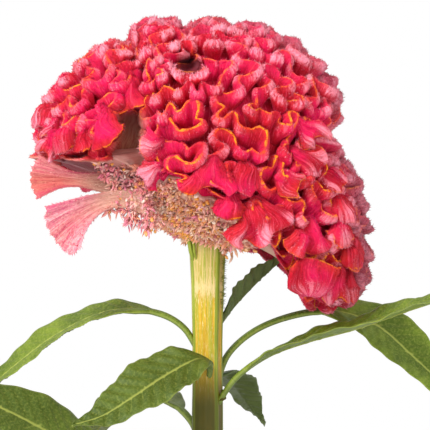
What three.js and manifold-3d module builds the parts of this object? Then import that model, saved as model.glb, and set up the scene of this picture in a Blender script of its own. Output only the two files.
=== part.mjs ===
// A potted cockscomb (Celosia cristata): a plain clay pot of soil, a ribbed stem with
// alternate leaves, and one velvety comb whose crest is a single ruffled ridge.
// Millimetres, +Z up. The origin is the middle of the pot's underside, -Y faces the viewer.
import * as THREE from "three";
import { mergeVertices } from "three/addons/utils/BufferGeometryUtils.js";
import Module from "manifold-3d";

const wasm = await Module();
wasm.setup();
const V = (x, y, z) => new THREE.Vector3(x, y, z);
const DEG = Math.PI / 180;

// Driving dimensions
const GAP = 0.3; // clearance between two pieces that touch
const POT = {
  height: 125, rimRadius: 71, rimHeight: 24, rimStep: 5, footRadius: 47, wall: 6, floor: 7, bevel: 1.5,
  sides: 40,
};
const DRAIN = { count: 3, radius: 5, ring: 24, sides: 14 };
const SOIL = { level: 108, mound: 3, relief: 2.6, sag: 0.25, rows: 7, sides: 30 };
const STEM = { foot: 84, top: 258, sides: 20, ribs: 5, ribDepth: 0.08 };
// Stem radius at each height.
const STEM_RADII = [[84, 7.4], [125, 7], [185, 6.4], [204, 6.2], [222, 6.1], [240, 6.5], [250, 7], [258, 8]];

// Leaves. path: the midrib. up: where the upper face looks at the foot and at the tip.
// stalk: the stalk's share of the length. fold: degrees that each half rises from the midrib.
const LEAF = {
  along: 12, across: 5, stalkHalf: 1.3, wing: 0.5, shoulder: 1.8, tipHalf: 0.7, stalkThick: 2.2,
  bladeThick: 0.96, edgeThin: 0.7,
};
const LEAVES = [
  {
    // upper left
    width: 27, stalk: 0.2, wave: 1.2, fold: 9, up: [V(0.1, -0.2, 1), V(-0.3, -0.34, 1)],
    path: [
      V(-4, 0, 219), V(-10, 0, 228), V(-20, 2, 233.5), V(-40, 5, 234.5), V(-62, 8, 225),
      V(-87, 10, 206), V(-112, 10, 183),
    ],
  },
  {
    // front left
    width: 30, stalk: 0.16, wave: 2.2, fold: 9, up: [V(0, -0.6, 1), V(-0.55, -1, 0.55)],
    path: [
      V(1, -4, 207), V(1, -9, 214), V(-4, -16, 216), V(-18, -28, 208), V(-33, -41, 198),
      V(-47, -52, 188), V(-63, -60, 184),
    ],
  },
  {
    // back right
    width: 17, stalk: 0.22, wave: 1.6, fold: 16, up: [V(-0.6, 0.5, 0.8), V(-0.8, 0.55, 0.6)],
    path: [
      V(3, 2, 226), V(7, 7, 232.5), V(14, 12, 237.5), V(21, 16, 240.5), V(27, 19, 242),
      V(33, 21, 242.5), V(38, 23, 241.5),
    ],
  },
  {
    // right long
    width: 25, stalk: 0.16, wave: 1.3, fold: 12, up: [V(-0.2, -0.35, 1), V(-0.1, -0.5, 1)],
    path: [
      V(4, -2, 195), V(12, -5, 207), V(25, -9, 217), V(42, -14, 224), V(62, -18, 230), V(84, -20, 238),
      V(106, -21, 245), V(128, -21, 250.5),
    ],
  },
  {
    // right drooping
    width: 26, stalk: 0.42, wave: 1.6, fold: 10, up: [V(-0.2, -0.1, 1), V(0.55, -1, 0.75)],
    path: [
      V(4, 2, 204), V(9, 5, 216), V(22, 9, 224.5), V(45, 13, 230), V(58, 13, 230), V(73, 10, 224.5),
      V(87, 5, 215), V(100, 0, 203), V(113, -5, 189),
    ],
  },
  {
    // lower left
    width: 34, stalk: 0.2, wave: 2, fold: 9, up: [V(0, -0.35, 1), V(0.25, -0.9, 1)],
    path: [
      V(-4, -2, 146), V(-12, -6, 155), V(-25, -11, 164), V(-42, -17, 173), V(-62, -23, 185),
      V(-85, -29, 198), V(-105, -33, 205), V(-122, -36, 203),
    ],
  },
  {
    // behind
    width: 26, stalk: 0.2, wave: 1.6, fold: 10, up: [V(0, 0.2, 1), V(0.4, 0.85, 0.6)],
    path: [
      V(0, 4, 194), V(2, 12, 203), V(6, 26, 205), V(11, 42, 199), V(16, 56, 191), V(21, 66, 183),
      V(26, 73, 176),
    ],
  },
  {
    // back left
    width: 30, stalk: 0.22, wave: 1.8, fold: 10, up: [V(0, 0.3, 1), V(-0.5, 0.7, 0.7)],
    path: [
      V(-2, 4, 174), V(-6, 12, 185), V(-15, 26, 192), V(-28, 44, 192), V(-41, 62, 184),
      V(-52, 77, 171), V(-60, 88, 156),
    ],
  },
  {
    // low front
    width: 36, stalk: 0.22, wave: 2, fold: 9, up: [V(0.1, -0.3, 1), V(0.35, -0.9, 0.8)],
    path: [
      V(1, -4, 142), V(5, -12, 152), V(12, -27, 158), V(22, -46, 158), V(33, -66, 151),
      V(43, -84, 140), V(51, -98, 127),
    ],
  },
  {
    // low right
    width: 38, stalk: 0.2, wave: 2.1, fold: 9, up: [V(0, 0, 1), V(0.7, 0.25, 0.8)],
    path: [
      V(4, 1, 158), V(13, 3, 168), V(30, 7, 174), V(53, 13, 173), V(76, 20, 164), V(97, 28, 150),
      V(113, 35, 134),
    ],
  },
  {
    // low back
    width: 36, stalk: 0.2, wave: 2, fold: 9, up: [V(0, 0, 1), V(0.2, 0.8, 0.8)],
    path: [
      V(1, 4, 138), V(4, 13, 148), V(10, 29, 155), V(20, 50, 156), V(31, 71, 150), V(41, 90, 139),
      V(49, 104, 126),
    ],
  },
  {
    // low left
    width: 36, stalk: 0.2, wave: 2, fold: 9, up: [V(0, 0, 1), V(-0.8, 0.1, 0.8)],
    path: [
      V(-4, 1, 122), V(-13, 4, 132), V(-30, 9, 139), V(-54, 15, 141), V(-78, 20, 136),
      V(-99, 24, 127), V(-115, 26, 114),
    ],
  },
];

// Comb. Its points are measured from its centre.
const COMB = { centre: V(0, 0, 296), coreInset: 10.6, around: 30, levels: 9 };
// Outline seen from the front: radius at each angle from +X, in degrees.
const COMB_OUTLINE = [
  [-60, 54], [-45, 82], [-30, 81], [-14, 69], [0, 61], [10, 55], [20, 61], [42, 64.5], [66, 64], [90, 62.5],
  [112, 67], [138, 70], [165, 75.5], [185, 71.5], [205, 62], [235, 52], [270, 46],
];
// Depth of the comb in front by x: its left part is set back behind a cleft. Behind, one depth.
const FRONT_DEPTH = [[-80, 36], [-42, 40], [-31, 31], [-21, 46], [-8, 50], [40, 49], [80, 42]];
const BACK_DEPTH = 47;
// Lowest height of the crest by x, in front and behind.
const CREST_EDGE_FRONT = [
  [-80, 7], [-32, 4], [-26, -5], [-12, -4], [-4, -10], [8, -15], [18, -23], [30, -30], [37, -42], [50, -58],
  [90, -60],
];
const CREST_EDGE_BACK = [[-80, 6], [0, -22], [40, -42], [60, -56], [90, -60]];
// The crest's ridge is one line that grows in length over the envelope until its folds fill it.
const RIDGE = {
  rows: 8, edgeRoom: 5, step: 3.3, rounds: 150, growRounds: 110, growth: 0.011, push: 0.18, spring: 0.25,
  smooth: 0.12, most: 0.9, skip: 3, gap: 9.6, edgeGap: 13, unevenGap: 0.08, seed: 15,
};
const WALL = {
  step: 7.4, chunk: 12, depth: 11.6, footHalf: 1.7, rimHalf: 0.9, footBlend: 3.5, rimBlend: 1.6,
};

const BASE = { neck: 8.2, edgeInset: 6.8, levels: 5, sag: 3, droop: 5, crown: 10 };
const FLORET = { count: 100, halfX: 27, length: 5.5, half: 0.95, root: 1.2, seed: 5 };
// Bare fans under the comb's left end: where each grows from, and the two ends of its edge.
const FAN = { along: 5, across: 8, thick: 1.3, bow: 5, cup: 3.5, wave: 1.5 };
const FANS = [
  { root: V(-24, -12, -12), ends: [V(-64, -17, -13.5), V(-51, -21, -36)], normal: V(-0.1, -1, 0.25), waves: 2 },
  { root: V(-34, -8, 0), ends: [V(-72, -12, 4), V(-62, -15, -12)], normal: V(-0.2, -1, 0.3), waves: 1.5 },
];

// A repeatable random number from 0 to 1.
function seeded(seed) {
  let a = seed >>> 0;
  return () => {
    a = (a + 0x6d2b79f5) >>> 0;
    let t = a;
    t = Math.imul(t ^ (t >>> 15), t | 1);
    t ^= t + Math.imul(t ^ (t >>> 7), t | 61);
    return ((t ^ (t >>> 14)) >>> 0) / 4294967296;
  };
}

// The value at x of straight lines through [x, value] pairs.
function along(pairs, x) {
  if (x <= pairs[0][0]) return pairs[0][1];
  for (let i = 1; i < pairs.length; i++)
    if (x <= pairs[i][0]) {
      const [x0, y0] = pairs[i - 1], [x1, y1] = pairs[i];
      return y0 + ((y1 - y0) * (x - x0)) / (x1 - x0);
    }
  return pairs[pairs.length - 1][1];
}

const smoothStep = (a, b, x) => {
  const t = Math.min(1, Math.max(0, (x - a) / (b - a)));
  return t * t * (3 - 2 * t);
};

// A solid from vertices and triangles.
function solidFrom(points, faces) {
  const g = new THREE.BufferGeometry();
  const xyz = points.flatMap((p) => [p.x, p.y, p.z]);
  g.setAttribute("position", new THREE.Float32BufferAttribute(xyz, 3));
  g.setIndex(faces);
  return solidOf(g);
}

// A three.js geometry as a solid.
function solidOf(geometry) {
  const bare = geometry.clone();
  bare.deleteAttribute("normal");
  bare.deleteAttribute("uv");
  const merged = mergeVertices(bare, 1e-4);
  const made = new wasm.Manifold(
    new wasm.Mesh({
      numProp: 3,
      vertProperties: new Float32Array(merged.attributes.position.array),
      triVerts: new Uint32Array(merged.index.array),
    }),
  );
  if (made.volume() < 0) throw new Error("a solid is inside out");
  return made;
}

// A solid as a three.js geometry.
function geometryOf(solid) {
  const m = solid.getMesh(), n = m.numProp;
  const g = new THREE.BufferGeometry();
  const xyz = new Float32Array(m.numVert * 3);
  for (let i = 0; i < m.numVert; i++) xyz.set(m.vertProperties.subarray(i * n, i * n + 3), i * 3);
  g.setAttribute("position", new THREE.BufferAttribute(xyz, 3));
  g.setIndex(new THREE.BufferAttribute(new Uint32Array(m.triVerts), 1));
  return g;
}

// A body lofted through closed rings of equal count, with a flat fan at each end.
function loft(rings) {
  const n = rings[0].length, points = rings.flat(), faces = [];
  const middle = (ring) => ring.reduce((s, p) => s.add(p), V(0, 0, 0)).divideScalar(n);
  const first = points.length, last = first + 1;
  points.push(middle(rings[0]), middle(rings[rings.length - 1]));
  for (let r = 0; r + 1 < rings.length; r++)
    for (let i = 0; i < n; i++) {
      const j = (i + 1) % n, a = r * n + i, b = r * n + j, c = a + n, d = b + n;
      faces.push(a, b, d, a, d, c);
    }
  const end = (rings.length - 1) * n;
  for (let i = 0; i < n; i++) {
    const j = (i + 1) % n;
    faces.push(first, j, i);
    faces.push(last, end + i, end + j);
  }
  return solidFrom(points, faces);
}

// A thin closed sheet from two grids of points, upper and under, split into triangles alike.
function sheet(upper, under) {
  const rows = upper.length, cols = upper[0].length, ring = 2 * cols, faces = [];
  const points = upper.flatMap((row, i) => [...row, ...under[i]]);
  for (let i = 0; i + 1 < rows; i++)
    for (let j = 0; j + 1 < cols; j++) {
      const a = i * ring + j, b = a + 1, c = a + ring, d = c + 1;
      faces.push(a, c, d, a, d, b);
      faces.push(a + cols, d + cols, c + cols, a + cols, b + cols, d + cols);
    }
  for (let i = 0; i + 1 < rows; i++)
    for (const [j, flip] of [[0, false], [cols - 1, true]]) {
      const a = i * ring + j, b = a + cols, c = a + ring, d = b + ring;
      faces.push(...(flip ? [a, c, d, a, d, b] : [a, d, c, a, b, d]));
    }
  for (const [i, flip] of [[0, true], [rows - 1, false]])
    for (let j = 0; j + 1 < cols; j++) {
      const a = i * ring + j, b = a + 1, c = a + cols, d = b + cols;
      faces.push(...(flip ? [a, b, d, a, d, c] : [a, d, b, a, c, d]));
    }
  return solidFrom(points, faces);
}

// Points round a circle at a height, drawn in or out by a shape's factor at each angle.
const ringAt = (z, radius, sides, shape = () => 1) =>
  Array.from({ length: sides }, (_, i) => {
    const t = (i / sides) * 2 * Math.PI, r = radius * shape(t);
    return V(r * Math.cos(t), r * Math.sin(t), z);
  });

// Pot: a plain tapered clay pot with a thick rim and three drain holes.
const potUnder = POT.height - POT.rimHeight;
const potBodyTop = POT.rimRadius - POT.rimStep;
// Radius of the pot's inner wall at its heights, from the floor up.
const potInside = [
  [POT.footRadius - POT.wall + ((potBodyTop - POT.footRadius) * POT.floor) / potUnder, POT.floor + POT.bevel],
  [potBodyTop - POT.wall, potUnder - 4], [POT.rimRadius - POT.wall + 1, POT.height],
];

function makePot() {
  const { height, rimRadius, footRadius, floor, bevel } = POT;
  const outside = [
    [0, 0], [footRadius - bevel, 0], [footRadius, bevel], [potBodyTop - 1, potUnder - 2 * bevel],
    [rimRadius - bevel, potUnder], [rimRadius, potUnder + bevel], [rimRadius, height - bevel],
    [rimRadius - bevel, height],
  ];
  const inside = [...potInside].reverse();
  const profile = [...outside, ...inside, [potInside[0][0] - bevel, floor], [0, floor]];
  const points = profile.map(([r, z]) => new THREE.Vector2(r, z));
  let pot = solidOf(new THREE.LatheGeometry(points, POT.sides).rotateX(Math.PI / 2));
  for (let i = 0; i < DRAIN.count; i++) {
    const t = ((i + 0.25) / DRAIN.count) * 2 * Math.PI;
    const hole = new THREE.CylinderGeometry(DRAIN.radius, DRAIN.radius, floor * 3, DRAIN.sides);
    hole.rotateX(Math.PI / 2).translate(DRAIN.ring * Math.cos(t), DRAIN.ring * Math.sin(t), 0);
    pot = pot.subtract(solidOf(hole));
  }
  return pot;
}

// Radius of the soil at a height: the pot's inner wall less the clearance and its facets' sag.
const soilRadius = (z) => along(potInside.map(([r, height]) => [height, r]), z) - GAP - SOIL.sag;

// Stem: five low ribs, widening at its top, grown all round by some clearance.
function stemShape(grow, foot, top) {
  const inside = STEM_RADII.map(([z]) => z).filter((z) => z > foot && z < top);
  const ribbed = (t) => 1 + STEM.ribDepth * Math.cos(STEM.ribs * t);
  const ring = (z) => ringAt(z, along(STEM_RADII, z) + grow, STEM.sides, ribbed);
  return loft([foot, ...inside, top].map(ring));
}

// Soil: fills the pot, with a low crumbly surface and a plain hole for the stem.
function makeSoil() {
  const { level, relief, rows, sides } = SOIL;
  const bottom = POT.floor + GAP, edge = soilRadius(level);
  const crumbs = (x, y) => {
    const broad = Math.sin(0.31 * x + 1.3) * Math.cos(0.27 * y - 0.4);
    return relief * (0.45 * broad + 0.35 * Math.sin(0.55 * x - 0.47 * y + 2));
  };
  const rings = [
    ringAt(bottom, soilRadius(bottom) - POT.bevel, sides),
    ...potInside.slice(0, 2).map(([, z]) => ringAt(z, soilRadius(z), sides)),
  ];
  for (let k = 0; k < rows; k++) {
    const share = k / rows;
    const rise = (p) => level + crumbs(p.x, p.y) * (k ? 1 : 0.5) + SOIL.mound * share;
    rings.push(ringAt(0, edge * (1 - share), sides).map((p) => V(p.x, p.y, rise(p))));
  }
  return loft(rings).subtract(stemShape(GAP, STEM.foot - GAP, 200));
}

// Half width of a leaf at a share of its length: a narrow winged stalk, then a lance-shaped blade.
function leafHalfWidth(leaf, t) {
  if (t < leaf.stalk) return LEAF.stalkHalf + LEAF.wing * smoothStep(0.5 * leaf.stalk, leaf.stalk, t);
  const s = (t - leaf.stalk) / (1 - leaf.stalk);
  const blade = Math.sin(Math.PI * s ** 0.82) ** 0.85 * (1 - 0.25 * s);
  return Math.max(LEAF.tipHalf, LEAF.shoulder * (1 - s) + (leaf.width / 2) * blade);
}

// A leaf: stalk and blade in one, folded a little along the midrib, with waved margins.
function makeLeaf(leaf, order) {
  const spine = new THREE.CatmullRomCurve3(leaf.path, false, "centripetal");
  const chance = seeded(100 + order);
  const phase = chance() * 2 * Math.PI, beat = (3.2 + 1.2 * chance()) * 2 * Math.PI;
  const upper = [], under = [];
  for (let i = 0; i <= LEAF.along; i++) {
    const t = i / LEAF.along;
    const at = spine.getPointAt(t), tangent = spine.getTangentAt(t);
    const up = leaf.up[0].clone().lerp(leaf.up[1], smoothStep(0.1, 0.9, t));
    up.addScaledVector(tangent, -up.dot(tangent)).normalize();
    const side = new THREE.Vector3().crossVectors(up, tangent);
    const half = leafHalfWidth(leaf, t), blade = smoothStep(leaf.stalk * 0.8, leaf.stalk + 0.15, t);
    const thick = LEAF.stalkThick + (LEAF.bladeThick - LEAF.stalkThick) * blade;
    const row = (face) =>
      Array.from({ length: LEAF.across }, (_, j) => {
        const u = (2 * j) / (LEAF.across - 1) - 1, a = Math.abs(u);
        const lift = half * a * Math.tan(leaf.fold * DEG) * blade;
        const ripple = leaf.wave * blade * u * u * Math.sin(beat * t + phase + (u > 0 ? 1.9 : 0));
        const skin = ((face * thick) / 2) * (a > 0.9 ? LEAF.edgeThin : 1);
        return at.clone().addScaledVector(side, half * u).addScaledVector(up, lift + ripple + skin);
      });
    upper.push(row(1));
    under.push(row(-1));
  }
  return sheet(upper, under);
}

// Comb: the outer envelope that the crest's ridge runs on.
function outlineRadius(angle) {
  const n = COMB_OUTLINE.length;
  let deg = (((angle / DEG) % 360) + 360) % 360;
  if (deg > COMB_OUTLINE[n - 1][0]) deg -= 360;
  const get = (i) => {
    const turn = Math.floor(i / n);
    const [a, r] = COMB_OUTLINE[i - turn * n];
    return [a + 360 * turn, r];
  };
  let i = -1;
  while (get(i + 1)[0] < deg) i++;
  const [a0, r0] = get(i), [a1, r1] = get(i + 1), r9 = get(i - 1)[1], r2 = get(i + 2)[1];
  const t = (deg - a0) / (a1 - a0);
  return r0 + 0.5 * t * (r1 - r9 + t * (2 * r9 - 5 * r0 + 4 * r1 - r2 + t * (3 * (r0 - r1) + r2 - r9)));
}

const depthAt = (x, y) => (y < 0 ? along(FRONT_DEPTH, x) : BACK_DEPTH);

// The point of the envelope in a unit direction, pulled in by some depth.
function envelope(u, inset = 0) {
  const r = outlineRadius(Math.atan2(u.z, u.x));
  return V((r - inset) * u.x, (depthAt(r * u.x, u.y) - inset) * u.y, (r - inset) * u.z);
}

// The unit direction that a point near the envelope belongs to.
function directionOf(p) {
  const r = outlineRadius(Math.atan2(p.z, p.x));
  return V(p.x / r, p.y / depthAt(p.x, p.y), p.z / r).normalize();
}

// Lowest height of the crest at a point of the envelope; the edge itself is wavy.
function crestEdge(p) {
  const low = along(p.y < 0 ? CREST_EDGE_FRONT : CREST_EDGE_BACK, p.x);
  return low + 2 * Math.sin(0.27 * p.x + 0.19 * p.y + 1) + 1.2 * Math.sin(0.61 * p.x - 0.4 * p.y);
}

// Puts a point back on the envelope, and not below the crest's edge.
function onEnvelope(p) {
  const q = envelope(directionOf(p)), low = crestEdge(q);
  if (q.z >= low) return q;
  q.z += 0.35 * (low - q.z);
  return envelope(directionOf(q));
}

function resample(points, step) {
  const out = [points[0].clone()];
  let need = step;
  for (let i = 1; i < points.length; i++) {
    const a = points[i - 1], b = points[i], length = a.distanceTo(b);
    let at = need;
    while (at <= length) {
      out.push(a.clone().lerp(b, at / length));
      at += step;
    }
    need = at - length;
  }
  return out;
}

// The ridge before it grows: plain rows from front to back, joined end to end.
function ridgeStart() {
  const chance = seeded(RIDGE.seed), points = [], reach = 150;
  for (let row = 0; row < RIDGE.rows; row++) {
    const middle = (-90 + (180 * (row + 0.5)) / RIDGE.rows) * DEG;
    const wide = chance() * 2 * Math.PI, narrow = chance() * 2 * Math.PI, part = [];
    for (let k = -reach; k <= reach; k++) {
      const psi = k * DEG;
      const l = middle + 0.09 * Math.sin(4.3 * psi + wide) + 0.05 * Math.sin(9.1 * psi + narrow);
      const q = envelope(V(Math.sin(l), Math.cos(l) * Math.sin(psi), Math.cos(l) * Math.cos(psi)));
      if (q.z > crestEdge(q) + RIDGE.edgeRoom) part.push(q);
    }
    points.push(...(row % 2 ? part.reverse() : part));
  }
  return resample(points, RIDGE.step);
}

// How far apart neighbouring folds stand at a point: wider at the front's lower edge.
function foldGap(q) {
  const edge = smoothStep(30, 6, q.z - crestEdge(q)) * (q.y < 0 ? 1 : 0.4);
  const uneven = Math.sin(0.085 * q.x + 1.1) * Math.sin(0.11 * q.y - 0.6) + Math.sin(0.1 * q.z + 0.07 * q.x);
  return (RIDGE.gap + (RIDGE.edgeGap - RIDGE.gap) * edge) * (1 + RIDGE.unevenGap * uneven);
}

// Pushes on each point of the ridge: away from other folds, and to an even step along the line.
function ridgePushes(p) {
  const move = p.map(() => V(0, 0, 0)), gaps = p.map(foldGap);
  for (let i = 0; i < p.length; i++)
    for (let j = i + RIDGE.skip; j < p.length; j++) {
      const dx = p[i].x - p[j].x;
      if (Math.abs(dx) > gaps[i]) continue;
      const dy = p[i].y - p[j].y, dz = p[i].z - p[j].z, d2 = dx * dx + dy * dy + dz * dz;
      if (d2 >= gaps[i] * gaps[i]) continue;
      const d = Math.sqrt(d2) + 1e-6;
      const push = V(dx, dy, dz).multiplyScalar((RIDGE.push * (gaps[i] - d)) / d);
      move[i].add(push);
      move[j].sub(push);
    }
  for (let i = 0; i + 1 < p.length; i++) {
    const d = p[i].distanceTo(p[i + 1]);
    const pull = p[i].clone().sub(p[i + 1]).multiplyScalar((RIDGE.spring * (RIDGE.step - d)) / d);
    move[i].add(pull);
    move[i + 1].sub(pull);
  }
  for (let i = 1; i + 1 < p.length; i++)
    move[i].addScaledVector(p[i - 1].clone().add(p[i + 1]).multiplyScalar(0.5).sub(p[i]), RIDGE.smooth);
  return move;
}

// Grows the ridge: new points crowd the line, and it buckles into folds of even width.
function grownRidge() {
  const chance = seeded(RIDGE.seed + 1);
  const tidy = (x) => Math.round(x * 1e4) / 1e4;
  let p = ridgeStart();
  for (let round = 0; round < RIDGE.rounds; round++) {
    const move = ridgePushes(p);
    const next = p.map((q, i) => {
      const long = move[i].length();
      if (long > RIDGE.most) move[i].multiplyScalar(RIDGE.most / long);
      const r = onEnvelope(q.clone().add(move[i]));
      return V(tidy(r.x), tidy(r.y), tidy(r.z));
    });
    p = [next[0]];
    for (let i = 1; i < next.length; i++) {
      const d = next[i].distanceTo(next[i - 1]), last = i === next.length - 1;
      const crowd = round < RIDGE.growRounds && chance() < RIDGE.growth;
      if (d > 1.4 * RIDGE.step || crowd) p.push(next[i].clone().add(next[i - 1]).multiplyScalar(0.5));
      if (d > 0.35 * RIDGE.step || last) p.push(next[i]);
    }
  }
  return p;
}

// A line's points blended with their neighbours along it, out to some reach.
function blended(points, reach, step) {
  const span = Math.ceil((2.5 * reach) / step);
  return points.map((_, i) => {
    const sum = V(0, 0, 0);
    let total = 0;
    for (let k = -span; k <= span; k++) {
      const j = Math.min(points.length - 1, Math.max(0, i + k));
      const w = Math.exp(-0.5 * ((k * step) / reach) ** 2);
      sum.addScaledVector(points[j], w);
      total += w;
    }
    return sum.divideScalar(total);
  });
}

// The direction that a fold grows in: away from the fan's foot.
function outward(p) {
  return p.clone().sub(V(p.x * 0.3, p.y * 0.15, -20 - 0.5 * Math.max(0, p.x))).normalize();
}

const sideOf = (line, i, out) => {
  const t = line[Math.min(i + 1, line.length - 1)].clone().sub(line[Math.max(i - 1, 0)]);
  return new THREE.Vector3().crossVectors(t, out).normalize();
};

// The crest's wall along the ridge, in short lengths that meet end to end.
function ridgeWalls() {
  const finer = 4, step = WALL.step / finer;
  const line = resample(blended(grownRidge(), WALL.rimBlend, RIDGE.step), step);
  const every = (_, i) => i % finer === 0;
  const rim = line.filter(every), foot = blended(line, WALL.footBlend, step).filter(every);
  const rings = rim.map((p, i) => {
    const out = outward(p), side = sideOf(rim, i, out), footSide = sideOf(foot, i, out);
    const low = foot[i].clone().addScaledVector(out, -WALL.depth);
    const corner = (q, dir, far) => q.clone().addScaledVector(dir, far);
    return [
      corner(low, footSide, -WALL.footHalf), corner(p, side, -WALL.rimHalf),
      corner(p, side, WALL.rimHalf), corner(low, footSide, WALL.footHalf),
    ];
  });
  const walls = [], { chunk } = WALL;
  for (let i = 0; i + 1 < rings.length; i += chunk) walls.push(loft(rings.slice(i, i + chunk + 1)));
  return walls;
}

// Where the crest's edge lies, in a direction round the vertical axis.
function edgeAt(phi) {
  const facing = (beta) => V(Math.cos(phi) * Math.cos(beta), Math.sin(phi) * Math.cos(beta), Math.sin(beta));
  let beta = 80 * DEG;
  while (beta > -80 * DEG && envelope(facing(beta)).z > crestEdge(envelope(facing(beta)))) beta -= DEG / 2;
  return { beta, facing };
}

const edgeRing = Array.from({ length: COMB.around }, (_, i) => edgeAt((i / COMB.around) * 2 * Math.PI));

// The crest's core: a smaller dome under the walls.
function crestCore() {
  const rings = [], top = 87 * DEG;
  for (let k = 0; k < COMB.levels; k++) {
    const share = k / (COMB.levels - 1);
    const point = ({ beta, facing }) => envelope(facing(beta + (top - beta) * share), COMB.coreInset);
    rings.push(edgeRing.map(point));
  }
  return loft(rings);
}

// A point of the base's skin: s runs from the stem's top to the crest's edge. Grown, it stands clear
// of the skin all round.
function funnelPoint(phi, s, { beta, facing }, grow = 0) {
  const foot = STEM.top + GAP - COMB.centre.z, r = BASE.neck + grow;
  const edge = envelope(facing(beta), BASE.edgeInset);
  const p = V(r * Math.cos(phi), r * Math.sin(phi), foot).lerp(edge, s);
  p.z += (edge.z > foot ? -BASE.sag : BASE.droop) * Math.sin(Math.PI * s) + (s < 1 ? -0.5 : 1) * grow;
  return p.addScaledVector(V(p.x, p.y, 0).normalize(), 2 * grow * s);
}

// The comb's base: a funnel that spreads from the stem's top to the crest's edge, with a raised crown
// inside the crest. It can be grown all round, or lifted.
function baseFunnel(grow = 0, lift = 0) {
  const rings = [];
  for (let k = 0; k < BASE.levels; k++) {
    const s = k / (BASE.levels - 1);
    rings.push(edgeRing.map((edge, i) => funnelPoint((i / COMB.around) * 2 * Math.PI, s, edge, grow)));
  }
  const crown = V(0, 0, BASE.crown + grow);
  rings.push(rings[BASE.levels - 1].map((p) => p.clone().lerp(crown, 0.5)));
  return loft(rings.map((ring) => ring.map((p) => p.clone().add(V(0, 0, lift)))));
}

// A bare fan of the ridge that never closed into folds: a thin waved blade from a narrow root.
function makeFan({ root, ends, normal, waves }, grow = 0) {
  const upper = [], under = [];
  const out = normal.clone().normalize(), across = ends[1].clone().sub(ends[0]).normalize();
  const middle = ends[0].clone().lerp(ends[1], 0.5);
  for (let i = 0; i <= FAN.along; i++) {
    const s = i / FAN.along, open = s ** 1.4, half = (FAN.thick * (1.6 - s)) / 2 + grow;
    const row = (face) =>
      Array.from({ length: FAN.across }, (_, j) => {
        const u = j / (FAN.across - 1), bow = 4 * u * (1 - u);
        const edge = ends[0].clone().lerp(ends[1], u), spoke = edge.clone().sub(root).normalize();
        const narrow = root.clone().lerp(edge, 0.12).lerp(middle, s);
        const p = root.clone().lerp(edge, s).lerp(narrow, 0.55 * (1 - open));
        p.addScaledVector(spoke, FAN.bow * bow * open + grow * (2 * s - 1));
        p.addScaledVector(across, grow * (2 * u - 1));
        const wave = FAN.wave * open * Math.sin(waves * 2 * Math.PI * u + 0.8) - FAN.cup * open * bow;
        return p.addScaledVector(out, wave + face * half);
      });
    upper.push(row(1));
    under.push(row(-1));
  }
  return sheet(upper, under);
}

// A floret: a papery three-sided spike, widest below its middle.
function makeFloret(foot, direction, length, half) {
  const z = direction.clone().normalize();
  const x = new THREE.Vector3().crossVectors(z, V(0.31, 0.22, 0.93)).normalize();
  const y = new THREE.Vector3().crossVectors(z, x);
  const tip = foot.clone().addScaledVector(z, length), belly = foot.clone().lerp(tip, 0.42);
  const corners = [0, 1, 2].map((i) => {
    const t = (i / 3) * 2 * Math.PI;
    return belly.clone().addScaledVector(x, half * Math.cos(t)).addScaledVector(y, half * Math.sin(t));
  });
  const points = [foot, ...corners, tip];
  const faces = [];
  for (let i = 1; i <= 3; i++) faces.push(0, (i % 3) + 1, i, 4, i, (i % 3) + 1);
  return solidFrom(points, faces);
}

// Florets hang from the base where it is narrow, thickest near the stem.
function makeFlorets() {
  const chance = seeded(FLORET.seed), florets = [];
  while (florets.length < FLORET.count) {
    const phi = chance() * 2 * Math.PI, s = 0.04 + 0.7 * chance() ** 1.1;
    const p = funnelPoint(phi, s, edgeAt(phi));
    if (Math.abs(p.x) > FLORET.halfX || p.z > crestEdge(p) - 4) continue;
    const out = V(Math.cos(phi), Math.sin(phi), 0);
    const lean = V((chance() - 0.5) * 0.9, (chance() - 0.5) * 0.9, -0.55 + 0.9 * chance());
    const root = p.clone().addScaledVector(out, -FLORET.root).add(V(0, 0, 1));
    const length = FLORET.length + 3.2 * chance();
    florets.push(makeFloret(root, out.add(lean), length, FLORET.half + 0.35 * chance()));
  }
  return florets;
}

// The biggest body of a solid, without loose scraps and sealed hollows.
function whole(solid) {
  const bodies = solidOf(geometryOf(solid)).decompose();
  return bodies.sort((a, b) => b.volume() - a.volume())[0];
}

function piece(name, solid, color, roughness) {
  const material = new THREE.MeshStandardMaterial({ color, roughness, metalness: 0 });
  const mesh = new THREE.Mesh(geometryOf(solid), material);
  mesh.name = name;
  return mesh;
}

const { Manifold } = wasm;
const leafyStem = Manifold.union([stemShape(0, STEM.foot, STEM.top), ...LEAVES.map(makeLeaf)]);
const funnels = [baseFunnel(), baseFunnel(GAP), baseFunnel(0, -GAP), baseFunnel(0, -0.5 * GAP)];
const seat = Manifold.union([...funnels, ...FANS.map((fan) => makeFan(fan, GAP))]);
const crest = whole(Manifold.union([crestCore(), ...ridgeWalls()]).subtract(seat));
const florets = makeFlorets().filter((floret) => floret.intersect(crest).isEmpty());
const base = Manifold.union([baseFunnel(), ...FANS.map((fan) => makeFan(fan)), ...florets]);

const comb = new THREE.Group();
comb.position.copy(COMB.centre);
comb.add(piece("comb_base", whole(base), 0xb9876f, 0.7));
comb.add(piece("comb_crest", crest, 0xd8304f, 0.8));

const plant = new THREE.Group();
plant.add(piece("pot", makePot(), 0xb5653f, 0.85));
plant.add(piece("soil", makeSoil(), 0x3a2a1f, 0.95));
plant.add(piece("leafy_stem", whole(leafyStem), 0x7d9a34, 0.55));
plant.add(comb);

export default plant;
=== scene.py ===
"""Looks of a potted cockscomb: crest, flank, florets, stem, leaves, soil and clay pot.

Shapes are worked out in millimetres, and those of the comb from COMB_CENTRE. make_piece makes metres of them.
"""
import math

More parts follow.
